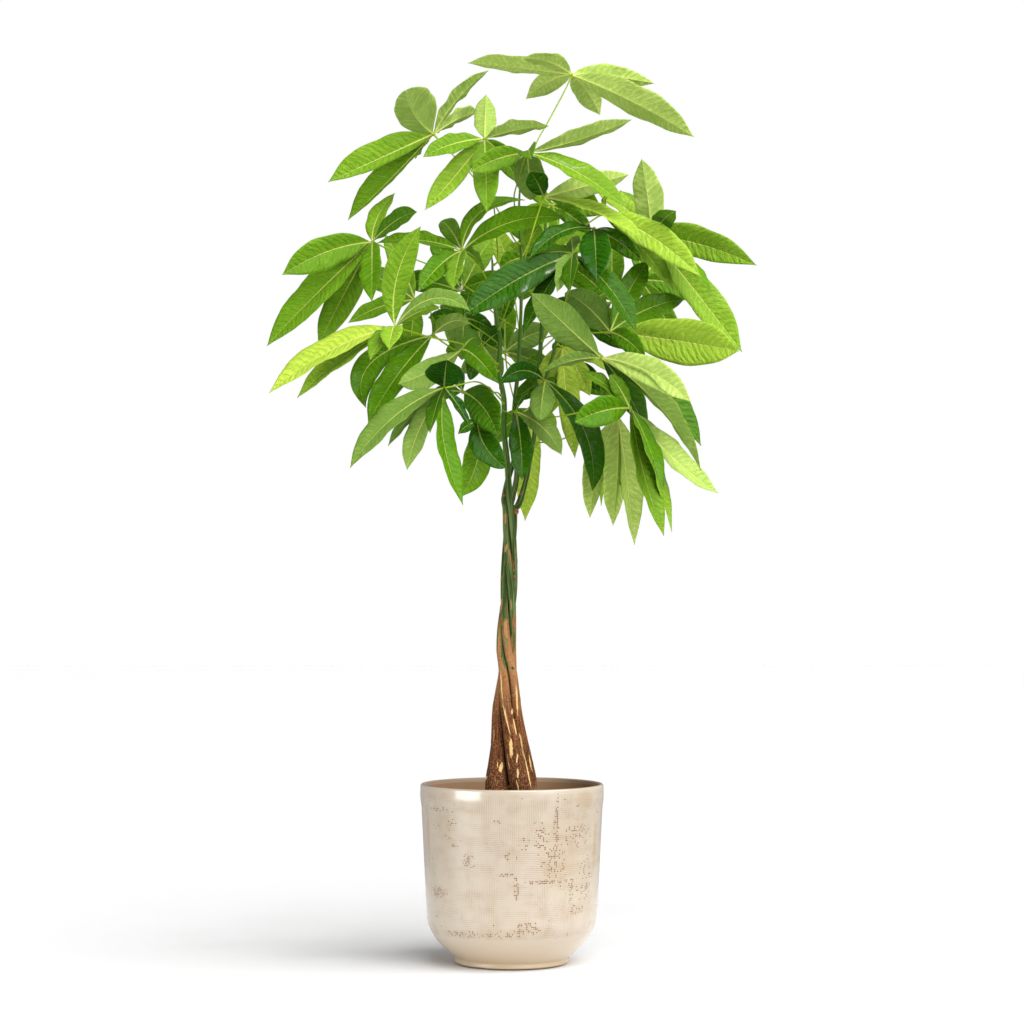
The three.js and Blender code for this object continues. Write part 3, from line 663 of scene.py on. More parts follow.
def unrolled(across, down):
    """Where a pixel of the camera's view meets the pot's wall: millimetres round the rim's circle from the
    back, and along the profile. The ray is met again at the depth that the wall has there."""
    back = -SHOULDER_RADIUS
    for _ in range(4):
        x, _, z = seen([across, down, back])
        radius = np.interp(z, [SHOULDER_HEIGHT, RIM_HEIGHT], [SHOULDER_RADIUS, RIM_RADIUS])
        back = -math.sqrt(max(radius**2 - x**2, 1))
    profile, climb, top = pot_climb()
    rise = np.interp(z, profile[:top, 1], climb[:top])
    return RIM_RADIUS * (math.pi + math.asin(max(-1, min(1, x / radius)))), rise


def wall_patches(place, patches):
    """Patches on the pot's wall: each counts fully within half its size and ends at its edge."""
    total = 0.0
    for across, down, wide, high, density in patches:
        around, rise = unrolled(across, down)
        beside, _ = unrolled(across + wide, down)
        _, above = unrolled(across, down - high)
        away = ellipse(place, (around, rise, 0), (beside - around, above - rise, 1))
        total = step(away, 0.45, 1.0, density, 0.0).most(total)
    return total


def threads(count):
    """Threads of a weave from their count: 1 on the middle of each thread, 0 between two."""
    return 1.0 - count.math("FRACT").math("MULTIPLY_ADD", 2.0, -1.0).math("ABSOLUTE")


def glaze_material(settings):
    """Cream glaze over a woven relief: two sets of fine threads that show in patches, brown specks in the
    weave's own holes where it is worn, a tan lip, a smooth darker bowl, and a brown glaze inside."""
    made, shader, place = blank_material("cream_woven_glaze")
    tree = place.tree
    flat = put(tree, "UVMap", uv_map="glaze")
    around, climb, _ = parts(flat)
    _, depth, height = parts(place)
    _, lengths, top = pot_climb()
    lip = float(lengths[top])

    band = step(climb, lip - WEAVE_HEAD - WEAVE_HEAD_FADE, lip - WEAVE_HEAD, 1.0, 0.0)
    band = band * step(height, (WEAVE_FOOT - WEAVE_FOOT_FADE) / METRE, (WEAVE_FOOT + WEAVE_FOOT_FADE) / METRE)
    warp = around / settings.thread_pitch
    weft = climb / settings.thread_pitch
    level = step(stretched(flat, 60, 16, 1), 0.42, 0.6, 0.55, 1.0)
    warp_lines = threads(warp) * step(stretched(flat, 22, 60, 1), 0.42, 0.62, 0.5, 1.0)
    relief = warp_lines.most(threads(weft) * level) * band

    crossing = put(tree, "CombineXYZ", {0: warp, 1: weft})
    number = put(tree, "VectorMath", {0: crossing}, operation="FLOOR")
    draw = put(tree, "TexWhiteNoise", {"Vector": number}, noise_dimensions="3D")
    inside = put(tree, "VectorMath", {0: crossing}, operation="FRACTION")
    off = put(tree, "VectorMath", {0: inside, 1: (0.5, 0.5, 0)}, "Value", operation="DISTANCE")
    hole = step(off, 0.32, 0.46, 1.0, 0.0)
    rows = step(stretched(flat, 26, 3.6, 1), 0.58, 0.7)
    columns = step(stretched(flat, 3.6, 22, 1), 0.58, 0.7)
    worn = rows.most(columns) * step(stretched(flat, 48, 48, 1), 0.45, 0.6)
    worn = worn * (step(depth, -0.06, 0.0, 0.35, 1.0) * 0.7)
    broken = step(stretched(flat, 5, 5, 1), 0.32, 0.5)
    chance = worn.most(wall_patches(flat, SPECK_PATCHES) * broken)
    dots = draw.math("LESS_THAN", chance) * (hole * band)

    stain = chance * band * 0.45
    # The tan marks, with the painted shade along the pot's left and right edges as seen
    tan_and_edge_shade = wall_patches(flat, TAN_PATCHES_AND_EDGE_SHADE) * step(level, 0.3, 0.9, 0.6, 1.0)
    lines = step(relief, 0.3, 0.95) * mottle(place, 14, 1.8)
    lip_line = step(climb, lip - 2.4, lip - 0.8) * step(climb, lip + 4, lip + 6, 1.0, 0.0)
    colour = painted(
        settings.glaze_warm,
        (mottle(place, 70, 1.3), settings.glaze_cool),
        (step(height, *BOWL_FADE, 0.75, 0.0), settings.glaze_bowl),
        (stain.most(tan_and_edge_shade), settings.glaze_stain_and_edge_shade),
        (lines * 0.85, settings.glaze_thread),
        (dots * 0.95, settings.speck),
        (lip_line * 0.8, settings.lip),
        (step(climb, lip + 4, lip + 7), settings.inside))
    clean_foot = step(height, FOOT_FADE / METRE, (FOOT_HEIGHT + FOOT_FADE) / METRE, 0.2, 1.0)
    feed(shader, {
        "Base Color": colour,
        "Roughness": step(climb, lip + 2, lip + 8, 0.45, 0.8),
        "Coat Weight": step(climb, lip, lip + 2.5, 1.0, 0.0) * clean_foot,
        "Coat Roughness": 0.19,
        "Normal": bump(relief - dots * 1.2, settings.thread_depth, 0.5),
    })
    return made


def soil_material():
    """Dark potting soil: clods of light and dark brown, with a rough grain."""
    made, shader, place = blank_material("potting_soil")
    clods = mottle(place, 9, 3.0)
    grain = mottle(place, 1.6, 3.0)
    colour = painted(linear(38, 26, 18), (clods, linear(84, 60, 42)), (grain * 0.5, linear(120, 92, 66)))
    feed(shader, {"Base Color": colour, "Roughness": 0.95, "Normal": bump(clods + grain, 1.6)})
    return made


def marks(place, ragged, rows):
    """Marks on the side of the trunk that faces the camera: ellipses with ragged ends, given as seen."""
    total = 0.0
    for across, down, wide, high, slant in rows:
        middle = tuple(seen([across, down, TRUNK_FRONT]) / METRE)
        half_sizes = (wide * MM_PER_PIXEL / METRE, 1.0, high * MM_PER_PIXEL / METRE)
        away = ellipse(place, middle, half_sizes, math.radians(slant))
        total = step(away + ragged, 0.75, 1.05, 1.0, 0.0).most(total)
    return total * step(parts(place)[1], -0.004, 0.0, 1.0, 0.0)


def bark_material(settings):
    """Dark corky bark with light dots at the foot, brown with long pale streaks above it, tan where it ends,
    then green skin with fine pale lines. Painted shade darkens it in the furrows between the stems. The bark
    field holds the place round the stem and the length along it, in millimetres."""
    made, shader, place = blank_material("stem_bark")
    skin = field(place.tree, "bark")
    furrow = parts(field(place.tree, "furrow"))[0]
    height = parts(place)[2]
    patches = stretched(skin, 5, 5, 42)
    grain = stretched(skin, 1.1, 1.1, 1.8)
    fibres = stretched(skin, 1.4, 1.4, 30)
    ragged = stretched(skin, 1.2, 1.2, 4).math("MULTIPLY_ADD", 1.4, -0.7)

    tan = step(height, *TAN_STARTS) * step(patches, 0.3, 0.55, 0.5, 1.0)
    dots = step(grain, 0.55, 0.62) * step(height, *DOTS_FADE, 0.9, 0.4)
    pits = step(grain, 0.34, 0.44, 0.7, 0.0) * step(height, *PITS_FADE, 1.0, 0.4)
    streaks = step(stretched(skin, 3.6, 3.6, 75), 0.66, 0.685)
    brown = painted(
        settings.bark_brown,
        (step(fibres, 0.4, 0.62, 1.0, 0.35), settings.bark_dark),
        (step(height, *DARK_FOOT_FADE, 1.0, 0.0) * 0.85, settings.bark_foot),
        (tan * step(grain, 0.35, 0.5, 0.55, 1.0), settings.bark_tan),
        (dots, settings.bark_dot),
        (pits, settings.bark_dark),
        (streaks.most(marks(place, ragged, PALE_MARKS)) * 0.92, settings.bark_streak))
    lines = step(stretched(skin, 0.9, 0.9, 50), 0.42, 0.6)
    rub = step(stretched(skin, 3.4, 3.4, 18), 0.64, 0.68) * step(height, *RUBS_FADE, 0.8, 0.0)
    green = painted(
        settings.skin_old,
        (step(height, *YOUNG_SKIN_STARTS), settings.skin_young),
        (lines * 0.5, settings.skin_line),
        (rub.most(marks(place, ragged, TAN_MARKS)), settings.bark_tan))

    level = (patches - 0.5).math("MULTIPLY_ADD", 0.26, height)
    bare = step(level, settings.bark_end - 0.004, settings.bark_end + 0.004)
    bare = bare.most(marks(place, ragged, GREEN_MARKS))
    colour = blend(bare, brown, green)
    # Painted shade: the bark is darkened where another stem lies close, in the furrows between the stems
    painted_furrow_shade = step(furrow, 0.02, settings.furrow, 0.92, 0.0)
    feed(shader, {
        "Base Color": blend(painted_furrow_shade, colour, tinted(colour, (0.1, 0.09, 0.07))),
        "Roughness": step(bare, 0.0, 1.0, 0.8, 0.45),
        "Specular IOR Level": 0.08,
        "Normal": bump(grain.math("MULTIPLY_ADD", 0.6, fibres), 0.9, 0.7),
    })
    return made


def scar_material():
    """The reddish brown cork of a healed leaf scar."""
    made, shader, place = blank_material("leaf_scar")
    grain = mottle(place, 1.5, 2.5)
    colour = blend(grain, linear(96, 50, 30), linear(160, 104, 68))
    feed(shader, {"Base Color": colour, "Roughness": 0.8, "Normal": bump(grain, 0.5)})
    return made


def age_ramp(age, settings, side):
    """The colour of one side of a leaf at each age from 0 to 1, blended between even stops."""
    made = put(age.tree, "ValToRGB", {0: age})
    stops = made.socket.node.color_ramp.elements
    for _ in STAGES[2:]:
        stops.new(0.5)
    for k, stage in enumerate(STAGES):
        stops[k].position = k / (len(STAGES) - 1)
        stops[k].color = (*getattr(settings, f"{side}_{stage}"), 1)
    return made


def leaf_material(settings):
    """Leaf skin. The blade field holds the share of the length, the number of the side vein that passes
    there, and the distance from the midrib in millimetres; the look field holds 1 on the underside, the age,
    and the share of the way to the margin. A thin leaf also glows with the light behind it."""
    made, shader, place = blank_material("leaf_skin")
    tree = place.tree
    blade = field(tree, "blade")
    share, vein, across = parts(blade)
    under, age, edge = parts(field(tree, "look"))
    rib = step(across / step(share, 0.0, 1.0, settings.midrib_width, 0.3), 0.32, 0.56, 1.0, 0.0)
    between = threads(vein + (mottle(place, 14, 1.0) - 0.5) * 1.6)
    fade = step(edge, 0.7, 0.97, 1.0, 0.0)
    line = step(between, 0.0, 0.2, 1.0, 0.0) * fade
    weft = put(tree, "Mapping", {"Vector": blade, "Scale": (0, 2.6, 0.2)})
    shifted = put(tree, "VectorMath", {0: place, 1: (21, 21, 21), 2: weft}, operation="MULTIPLY_ADD")
    net = step(put(tree, "TexNoise", {"Vector": shifted, "Scale": 1.0, "Detail": 3.0}), 0.36, 0.62)

    skin = blend(under, age_ramp(age, settings, "top"), age_ramp(age, settings, "under"))
    darker = tinted(skin, (0.55, 0.68, 0.45))
    clouds = mottle(place, 26, 2.6) * step(age, 0.05, 0.4, 0.85, 0.5)
    skin = painted(skin, (clouds, darker), (net * 0.6, darker))
    pale = blend(0.5, skin, settings.midrib)
    vein_shows = step(age, 0.05, 0.5, 0.2, 0.5) * fade
    # Painted shade: the skin is darkened beside each side vein, in the creases where the puckers dip
    beside = step(between, 0.1, 0.5, 1.0, 0.0) - line
    skin = painted(skin, (line * vein_shows, pale), (beside * 0.85, darker))
    rib_skin = blend(step(age, 0.0, 0.5, 0.5, 0.95), skin, settings.midrib)
    stalk_skin = blend(age, settings.stalk_old, settings.stalk_young)
    stalk = step(share, -0.6, -0.4, 1.0, 0.0)
    skin = painted(skin, (rib, blend(stalk, rib_skin, stalk_skin)), (step(edge, 0.93, 1.0) * 0.35, pale))

    puffed = between.math("POWER", 0.6) * fade + net * 0.5
    raised = puffed * step(age, 0.05, 0.5, 1.0, 0.5) * step(under, 0.0, 1.0, 1.0, 0.45)
    normal = bump(raised, settings.relief, 0.9)
    feed(shader, {
        "Base Color": skin,
        "Roughness": under.math("MULTIPLY_ADD", 0.16, step(age, 0.1, 0.5, 0.16, 0.42)),
        "Specular IOR Level": 0.06,
        "Coat Weight": step(age, 0.08, 0.6, 0.2, 0.06) * (1.0 - under),
        "Coat Roughness": 0.12,
        "Normal": normal,
    })
    glow = put(tree, "BsdfTranslucent", {"Color": tinted(skin, settings.glow), "Normal": normal})
    through = step(age, 0.4, 0.8, 1.0, 0.4) * settings.glow_share
    both = put(tree, "MixShader", {0: through, 1: Value(shader.outputs[0]), 2: glow})
    feed(tree.nodes["Material Output"], {"Surface": both})
    return made


# Settings

def amount(name, description, default, **more):
    """A number of at least 0."""
    return FloatProperty(name=name, description=description, default=default, min=0.0, **more)


def length(name, description, default):
    """A length in millimetres."""
    return amount(name, f"{description}, in millimetres", default)


def count(name, description, default, least):
    """How many faces or points a surface has."""
    return IntProperty(name=name, description=description, default=default, min=least)


def colour(name, description, *rgb):
    """A colour, given as it looks on a screen."""
    return FloatVectorProperty(name=name, description=description, default=linear(*rgb), subtype="COLOR",
                               min=0.0, max=1.0)


def vector(name, description, default, **more):
    """A place, a direction, or a pair of sides."""
    return FloatVectorProperty(name=name, description=description, default=default, **more)


class PotSettings(bpy.types.PropertyGroup):
    """Sizes and colours of the pot."""

    sides: count("Sides", "Faces round the pot", 192, 24)
    thread_pitch: length("Thread pitch", "Distance between the threads of the weave", 2.2)
    thread_depth: length("Thread depth", "How far the threads stand out", 0.35)
    glaze_warm: colour("Warm glaze", "Cream of the glaze where it is thick", 172, 160, 138)
    glaze_cool: colour("Cool glaze", "Cream of the glaze where it is thin", 168, 155, 142)
    glaze_bowl: colour("Bowl", "Glaze on the smooth bowl", 166, 143, 111)
    glaze_thread: colour("Thread", "Lines of the weave", 136, 110, 78)
    # This stain colour also paints the shade along the pot's left and right edges
    glaze_stain_and_edge_shade: colour("Stain", "Tan where the weave is worn", 160, 137, 98)
    speck: colour("Speck", "Specks in the worn weave", 92, 54, 20)
    lip: colour("Lip", "Where the glaze runs thin on the lip", 138, 108, 76)
    inside: colour("Inside", "Glaze inside the pot", 144, 112, 80)


class TrunkSettings(bpy.types.PropertyGroup):
    """Sizes and colours of the stems."""

    sides: count("Sides", "Faces round a stem", 28, 8)
    bark_end: amount("Bark end", "Height where bark gives way to skin", 0.39, unit="LENGTH")
    # How far the painted shade in the furrows between the stems reaches
    furrow: amount("Furrow", "How far the dark of a furrow reaches, in radii of the stem", 0.42)
    bark_dark: colour("Dark bark", "Pits and lines of the bark", 60, 32, 16)
    bark_dot: colour("Bark dot", "Light dots of the bark", 176, 130, 92)
    bark_brown: colour("Bark", "Bark in the middle of its height", 140, 86, 48)
    bark_tan: colour("Tan bark", "Thin bark where it ends", 160, 116, 74)
    bark_foot: colour("Foot", "Bark at the foot", 74, 44, 26)
    bark_streak: colour("Streak", "Pale streaks along the bark", 220, 182, 122)
    skin_old: colour("Old skin", "Green skin above the bark", 42, 62, 20)
    skin_young: colour("Young skin", "Green skin of the shoots", 58, 104, 14)
    skin_line: colour("Skin line", "Fine lines in the skin", 132, 150, 92)


class LeafSettings(bpy.types.PropertyGroup):
    """Sizes and colours of the leaves."""

    rows: count("Rows", "Faces along a leaflet", 40, 8)
    columns: count("Columns", "Points across a leaflet, an odd number", 19, 5)
    thickness: length("Thickness", "Thickness of a blade", 0.6)
    midrib_width: length("Midrib", "Width of the midrib at its foot", 2.2)
    vein_pitch: length("Vein pitch", "Distance between side veins", 8.2)
    wave: length("Wave", "How far a margin waves up and down", 1.5)
    relief: length("Relief", "Depth of the puckers between the veins", 2.4)
    top_old: colour("Old top", "Top of an old leaflet", 18, 98, 0)
    top_grown: colour("Grown top", "Top of a grown leaflet", 110, 164, 14)
    top_fresh: colour("Fresh top", "Top of a fresh leaflet", 170, 206, 62)
    top_young: colour("Young top", "Top of a young leaflet", 208, 228, 86)
    under_old: colour("Old underside", "Underside of an old leaflet", 88, 124, 46)
    under_grown: colour("Grown underside", "Underside of a grown leaflet", 150, 182, 86)
    under_fresh: colour("Fresh underside", "Underside of a fresh leaflet", 204, 224, 122)
    under_young: colour("Young underside", "Underside of a young leaflet", 212, 232, 124)
    midrib: colour("Midrib colour", "Midrib of a leaflet", 226, 234, 124)
    stalk_old: colour("Old stalk", "Stalk of an old leaf", 96, 140, 24)
    stalk_young: colour("Young stalk", "Stalk of a young leaf", 200, 224, 60)
    glow: colour("Glow", "Tint of the light that comes through", 235, 255, 140)
    glow_share: amount("Glow share", "Share of the light that comes through", 0.3, max=1.0, subtype="FACTOR")


class StageSettings(bpy.types.PropertyGroup):
    """The floor and the light."""

    floor_size: amount("Floor", "Side of the floor", 30.0, unit="LENGTH")
    paper: amount("Paper", "How far the white paper on the floor reaches", 1.1, unit="LENGTH")
    near: amount("Near", "How much light the white paper gives back", 0.85, max=1.0)
    beyond: amount("Beyond", "How much light the floor beyond the paper gives back", 0.3, max=1.0)
    white: amount("White", "How light the floor looks to the camera", 0.69, max=1.0)
    sky_front: amount("Front", "Brightness of the room behind the camera", 0.05)
    sky_back: amount("Back", "Brightness of the room behind the plant", 0.32)
    sky_right: amount("Right", "What the right wall adds to that", 0.5)
    sky_left: amount("Left", "What the left wall adds to that", 0.15)
    sky_top: amount("Top", "What the ceiling adds to that", 0.1)
    key: amount("Key light", "Strength of the key light", 5.4)
    key_width: amount("Key width", "How wide the key light looks", math.radians(78), subtype="ANGLE")
    key_side: vector("Key side", "The direction that the key light comes from", (0.6, -0.62, 0.75),
                     subtype="DIRECTION")
    window: amount("Window", "Power of the window light", 34.0, unit="POWER")
    window_size: vector("Window size", "Width and height of the window light", (1.45, 0.55), size=2,
                        unit="LENGTH")
    window_place: vector("Window place", "Middle of the window light", (-2.0, -1.35, 0.24),
                         subtype="TRANSLATION")
    spark: amount("Spark", "Power of the small light that glints on the leaves", 5.0, unit="POWER")
    spark_size: amount("Spark size", "Side of that light", 0.11, unit="LENGTH")
    spark_place: vector("Spark place", "Middle of that light", (0.15, -0.8, 2.6), subtype="TRANSLATION")


# Pot and soil

def pot_profile():
    """The pot's outline as radius and height, from the middle of its underside over the lip to the middle of
    its floor. The foot stands on a smaller ring and has a round edge and a groove, the bowl is a quadratic
    Bezier, the wall swells under the rim by half a sine, and the lip is a half circle."""
    shoulder = np.array([SHOULDER_RADIUS, SHOULDER_HEIGHT])
    wall_in = np.array([WALL, 0])
    bowl = quadratic(np.array([FOOT_RADIUS, FOOT_HEIGHT]), np.array([BOWL_BEND_RADIUS, BOWL_BEND_HEIGHT]),
                     shoulder, np.linspace(0, 1, 25))
    turn = np.linspace(0, math.pi, 13)[:, None]
    lip_centre = np.array([RIM_RADIUS - WALL / 2, RIM_HEIGHT - WALL / 2])
    lip = lip_centre + WALL / 2 * np.hstack([np.cos(turn), np.sin(turn)])
    wall = shoulder + np.linspace(0, 1, 49)[1:-1, None] * (lip[0] - shoulder)
    swelling = np.clip((wall[:, 1] - RIM_HEIGHT + RIM_SWELL_TOP) / RIM_SWELL_LENGTH + 1, 0, 1)
    wall[:, 0] += RIM_SWELL * np.sin(math.pi * swelling)
    inner_bowl = quadratic(np.array([FOOT_RADIUS - WALL, FLOOR_THICKNESS]),
                           np.array([BOWL_BEND_RADIUS - WALL, BOWL_BEND_HEIGHT + WALL]),
                           shoulder - wall_in, np.linspace(1, 0, 13))
    inner_wall = lip[-1] + np.linspace(0, 1, 13)[1:-1, None] * (inner_bowl[0] - lip[-1])
    under = np.linspace(0, math.pi / 2, 7)[:, None]
    round_edge = FOOT_ROUND * np.hstack([np.sin(under), -np.cos(under)])
    foot = np.vstack([
        [[0, 0], [FOOT_RADIUS / 2, 0], [FOOT_REST, 0], [FOOT_REST + 0.3, FOOT_GAP]],
        np.array([FOOT_RADIUS - FOOT_ROUND, FOOT_GAP + FOOT_ROUND]) + round_edge,
        [[FOOT_RADIUS, 2 * GROOVE_HEIGHT - FOOT_HEIGHT], [FOOT_RADIUS - FOOT_GROOVE, GROOVE_HEIGHT]]])
    return np.vstack([foot, bowl, wall, lip, inner_wall, inner_bowl, [[0, FLOOR_THICKNESS]]])


def pot_climb():
    """The pot's profile, the length along it from the middle of the underside, and the number of its top."""
    profile = pot_profile()
    return profile, path_length(profile), int(np.argmax(profile[:, 1]))


def turned_mesh(profile, climb, sides):
    """Faces of a profile turned about the axis, with its two ends on the axis, and the place of every face
    corner on the unrolled surface: millimetres round the rim's circle, and along the profile."""
    column = np.arange(sides)
    angle = column * 2 * math.pi / sides + math.pi / 2
    radius, height = profile[1:-1].T[..., None]
    rings = np.broadcast_arrays(radius * np.cos(angle), radius * np.sin(angle), height)
    ends = [[0, 0, profile[0, 1]], [0, 0, profile[-1, 1]]]
    points = np.vstack([np.stack(rings, axis=-1).reshape(-1, 3), ends])
    last = len(profile) - 1
    pitch = 2 * math.pi * RIM_RADIUS / sides
    faces = []
    places = []

    def face_ring(*corners):
        """A face for each column. Each corner has its row of the profile, and how far it lies round from
        there in columns: half a column for a point on the axis."""
        ids = [np.full(sides, (last - 1) * sides + (row > 0)) if row in (0, last)
               else (row - 1) * sides + (column + shift) % sides for row, shift in corners]
        unrolled_corners = [np.stack([(column + shift) * pitch, np.full(sides, climb[row])], axis=1)
                            for row, shift in corners]
        faces.extend(np.stack(ids, axis=1).tolist())
        places.append(np.stack(unrolled_corners, axis=1).reshape(-1, 2))

    face_ring((1, 0), (0, 0.5), (1, 1))
    for row in range(1, last - 1):
        face_ring((row, 0), (row, 1), (row + 1, 1), (row + 1, 0))
    face_ring((last - 1, 0), (last - 1, 1), (last, 0.5))
    return points, faces, np.vstack(places)


def icosahedron():
    """The twelve corners of an icosahedron, from the golden ratio, and its twenty faces: three corners that
    lie two units apart."""
    golden = (1 + math.sqrt(5)) / 2
    flat = np.array([[0, a, b * golden] for a in (-1, 1) for b in (-1, 1)])
    corners = np.vstack([np.roll(flat, k, axis=1) for k in range(3)])
    near = np.linalg.norm(corners[:, None] - corners[None], axis=2)
    faces = []
    for i, j, k in combinations(range(12), 3):
        if max(near[i, j], near[j, k], near[i, k]) < 2.01:
            normal = np.cross(corners[j] - corners[i], corners[k] - corners[i])
            faces.append([i, j, k] if normal @ corners[i] > 0 else [i, k, j])
    return corners / np.linalg.norm(corners[0]), np.array(faces)


def randomly_turned(shapes, rng):
    """Each shape turned by a rotation drawn evenly: p + 2v x (v x p + w p), where w and the vector v are a
    random quaternion of length one."""
    quaternions = unit(rng.normal(size=(len(shapes), 1, 4)))
    w, v = quaternions[..., :1], quaternions[..., 1:]
    return shapes + 2 * np.cross(v, np.cross(v, shapes) + w * shapes)


def soil_crumbs():
    """Crumbs on the soil: icosahedra with jittered corners, thrown evenly over the surface's disc, clear of
    the stems and half sunk."""
    rng = np.random.default_rng(CRUMB_SEED)
    corners, faces = icosahedron()
    radius = (SOIL_RADIUS - CRUMB_MARGIN) * np.sqrt(rng.random(CRUMBS))
    angle = rng.random(CRUMBS) * 2 * math.pi
    spots = np.stack([radius * np.cos(angle), radius * np.sin(angle)], axis=1)
    size = CRUMB_LEAST + CRUMB_SPREAD * rng.random(CRUMBS) ** CRUMB_RARITY
    clear = np.ones(CRUMBS, bool)
    for path, radii in STEM_PATHS:
        k = np.argmin(np.abs(path[:, 2] - SOIL_TOP))
        clear &= np.linalg.norm(spots - path[k, :2], axis=1) > radii[k] + size + CRUMB_GAP
    spots, size = spots[clear], size[clear]
    shape = corners * (1 + CRUMB_JITTER * rng.normal(size=(len(size), 12, 1)).clip(-1.5, 1.5))
    shape = randomly_turned(shape, rng) * size[:, None, None]
    shape[..., 2] *= CRUMB_FLATNESS
    middle = np.column_stack([spots, SOIL_TOP + CRUMB_LIFT * size])
    every = faces[None] + len(corners) * np.arange(len(size))[:, None, None]
    return (shape + middle[:, None]).reshape(-1, 3), every.reshape(-1, 3).tolist()


# Stems

def stem_path(number):
    """A stem's middle line with its radii: the twist, then the free shoot, through one smooth curve. In the
    twist the four stems stand on a circle round the trunk's own middle and turn with height."""
    share = np.linspace(0, 1, TWIST_STEPS + 1) * (len(TRUNK) - 1)
    height, radius, lean = smooth_curve(TRUNK[:, :3], share).T
    turned = smooth_curve(np.column_stack([TRUNK[:, 0], TRUNK[:, 3], TRUNK[:, 0] * 0]), share)[:, 1]
    angle = np.radians(turned + STEM_PHASES[number])
    ring = (radius * STEM_SLANT + STEM_GAP / 2) * math.sqrt(2)
    twist = np.column_stack([lean + ring * np.cos(angle), ring * np.sin(angle), height])
    shoot = SHOOTS[number]
    knots = np.vstack([twist, [seen(point[:3]) for point in shoot]])
    radii = np.concatenate([radius, [point[3] for point in shoot]])
    places = np.concatenate([np.linspace(0, TWIST_STEPS, TWIST_STEPS * 5 + 1)[:-1],
                             np.linspace(TWIST_STEPS, len(knots) - 1, len(shoot) * 10 + 1)])
    return smooth_curve(knots, places), np.interp(places, np.arange(len(knots)), radii)


STEM_PATHS = [stem_path(number) for number in range(4)]


def stem_rings(number, sides):
    """A stem's rings: its radius is ribbed round the foot, ringed by a low ridge at each joint above, and
    rounded off at the top. In the twist it swells towards the trunk's middle by the fourth power of the
    cosine, as stems do that have grown against each other. The bark field holds the place round it and the
    length along it, the furrow field how far the nearest other stem lies, in radii."""
    path, radii = STEM_PATHS[number]
    height = path[:, 2]
    along = path_length(path)
    angle = np.arange(sides) * 2 * math.pi / sides
    foot = np.clip((RIB_END - height) / RIB_FADE, 0, 1)[:, None]
    ribs = np.sin(3 * angle + along[:, None] / 31 + number) + 0.6 * np.sin(7 * angle - along[:, None] / 19)
    spacing = JOINT_SPACING + JOINT_SPREAD * number
    joint = np.abs((along / spacing + JOINT_STAGGER * number) % 1 - 0.5) * spacing
    ridge = JOINT_HEIGHT * np.exp(-(joint / JOINT_WIDTH) ** 2)[:, None] * (1 - foot)
    ends = np.clip((along[-1] - along) / radii[-1], 0, 1)
    rounded = np.sqrt(1 - (1 - ends) ** 2).clip(0.12, 1)[:, None]
    radius = (radii[:, None] * rounded - STEM_TRIM + RIB_DEPTH * foot * ribs + ridge).clip(0.15, None)
    across, up = carried_frames(path, np.array([1.0, 0, 0]))
    trunk_middle = np.mean([[np.interp(height, other[:, 2], other[:, k]) for k in (0, 1)]
                            for other, _ in STEM_PATHS], axis=0).T
    inward = unit(np.column_stack([trunk_middle - path[:, :2], np.zeros(len(path))]) + 1e-6)
    facing = (np.cos(angle) * np.sum(inward * across, axis=1)[:, None]
              + np.sin(angle) * np.sum(inward * up, axis=1)[:, None])
    together = np.clip((TWIST_END - height) / TWIST_FADE, 0, 1)[:, None]
    radius = radius * (1 + STEM_PRESS * together * np.clip(facing, 0, 1) ** 4) + STEM_GROWTH * together
    rings = tube(path, radius, sides, (1, 0, 0))
    beside = []
    for k, (other, other_radii) in enumerate(STEM_PATHS):
        if k != number:
            x, y, thick = (np.interp(rings[..., 2], other[:, 2], values)
                           for values in (other[:, 0], other[:, 1], other_radii))
            beside.append(np.hypot(rings[..., 0] - x, rings[..., 1] - y) - thick)
    # The furrow field sets where the bark gets its painted shade
    furrow = np.min(beside, axis=0) / radii[:, None]
    bark = np.stack(np.broadcast_arrays(
        np.cos(angle) * radii[:, None] + BARK_SHIFT * number, np.sin(angle) * radii[:, None], along[:, None]),
        axis=-1)
    return rings, bark, furrow[..., None]


def stem_at(number, height):
    """The middle and radius of a stem at a height."""
    path, radii = STEM_PATHS[number]
    *middle, radius = (np.interp(height, path[:, 2], values) for values in (*path.T, radii))
    return np.array(middle), radius


# Leaves

def outline(share, point, lean):
    """A leaflet's width at a share of its length: a sine whose power is high at both ends, so the foot is
    wedge-shaped, and the tip is blunt where point is 0 and sharp where it is more. The widest place lies
    further out where lean is more."""
    power = OUTLINE_FULLNESS + 0.5 * np.clip(1 - share / 0.3, 0, 1) ** 2
    power = power + point * np.clip((share - 0.7) / 0.3, 0, 1) ** 2
    return np.sin(math.pi * np.clip(share, 0, 1) ** lean).clip(0, 1) ** power


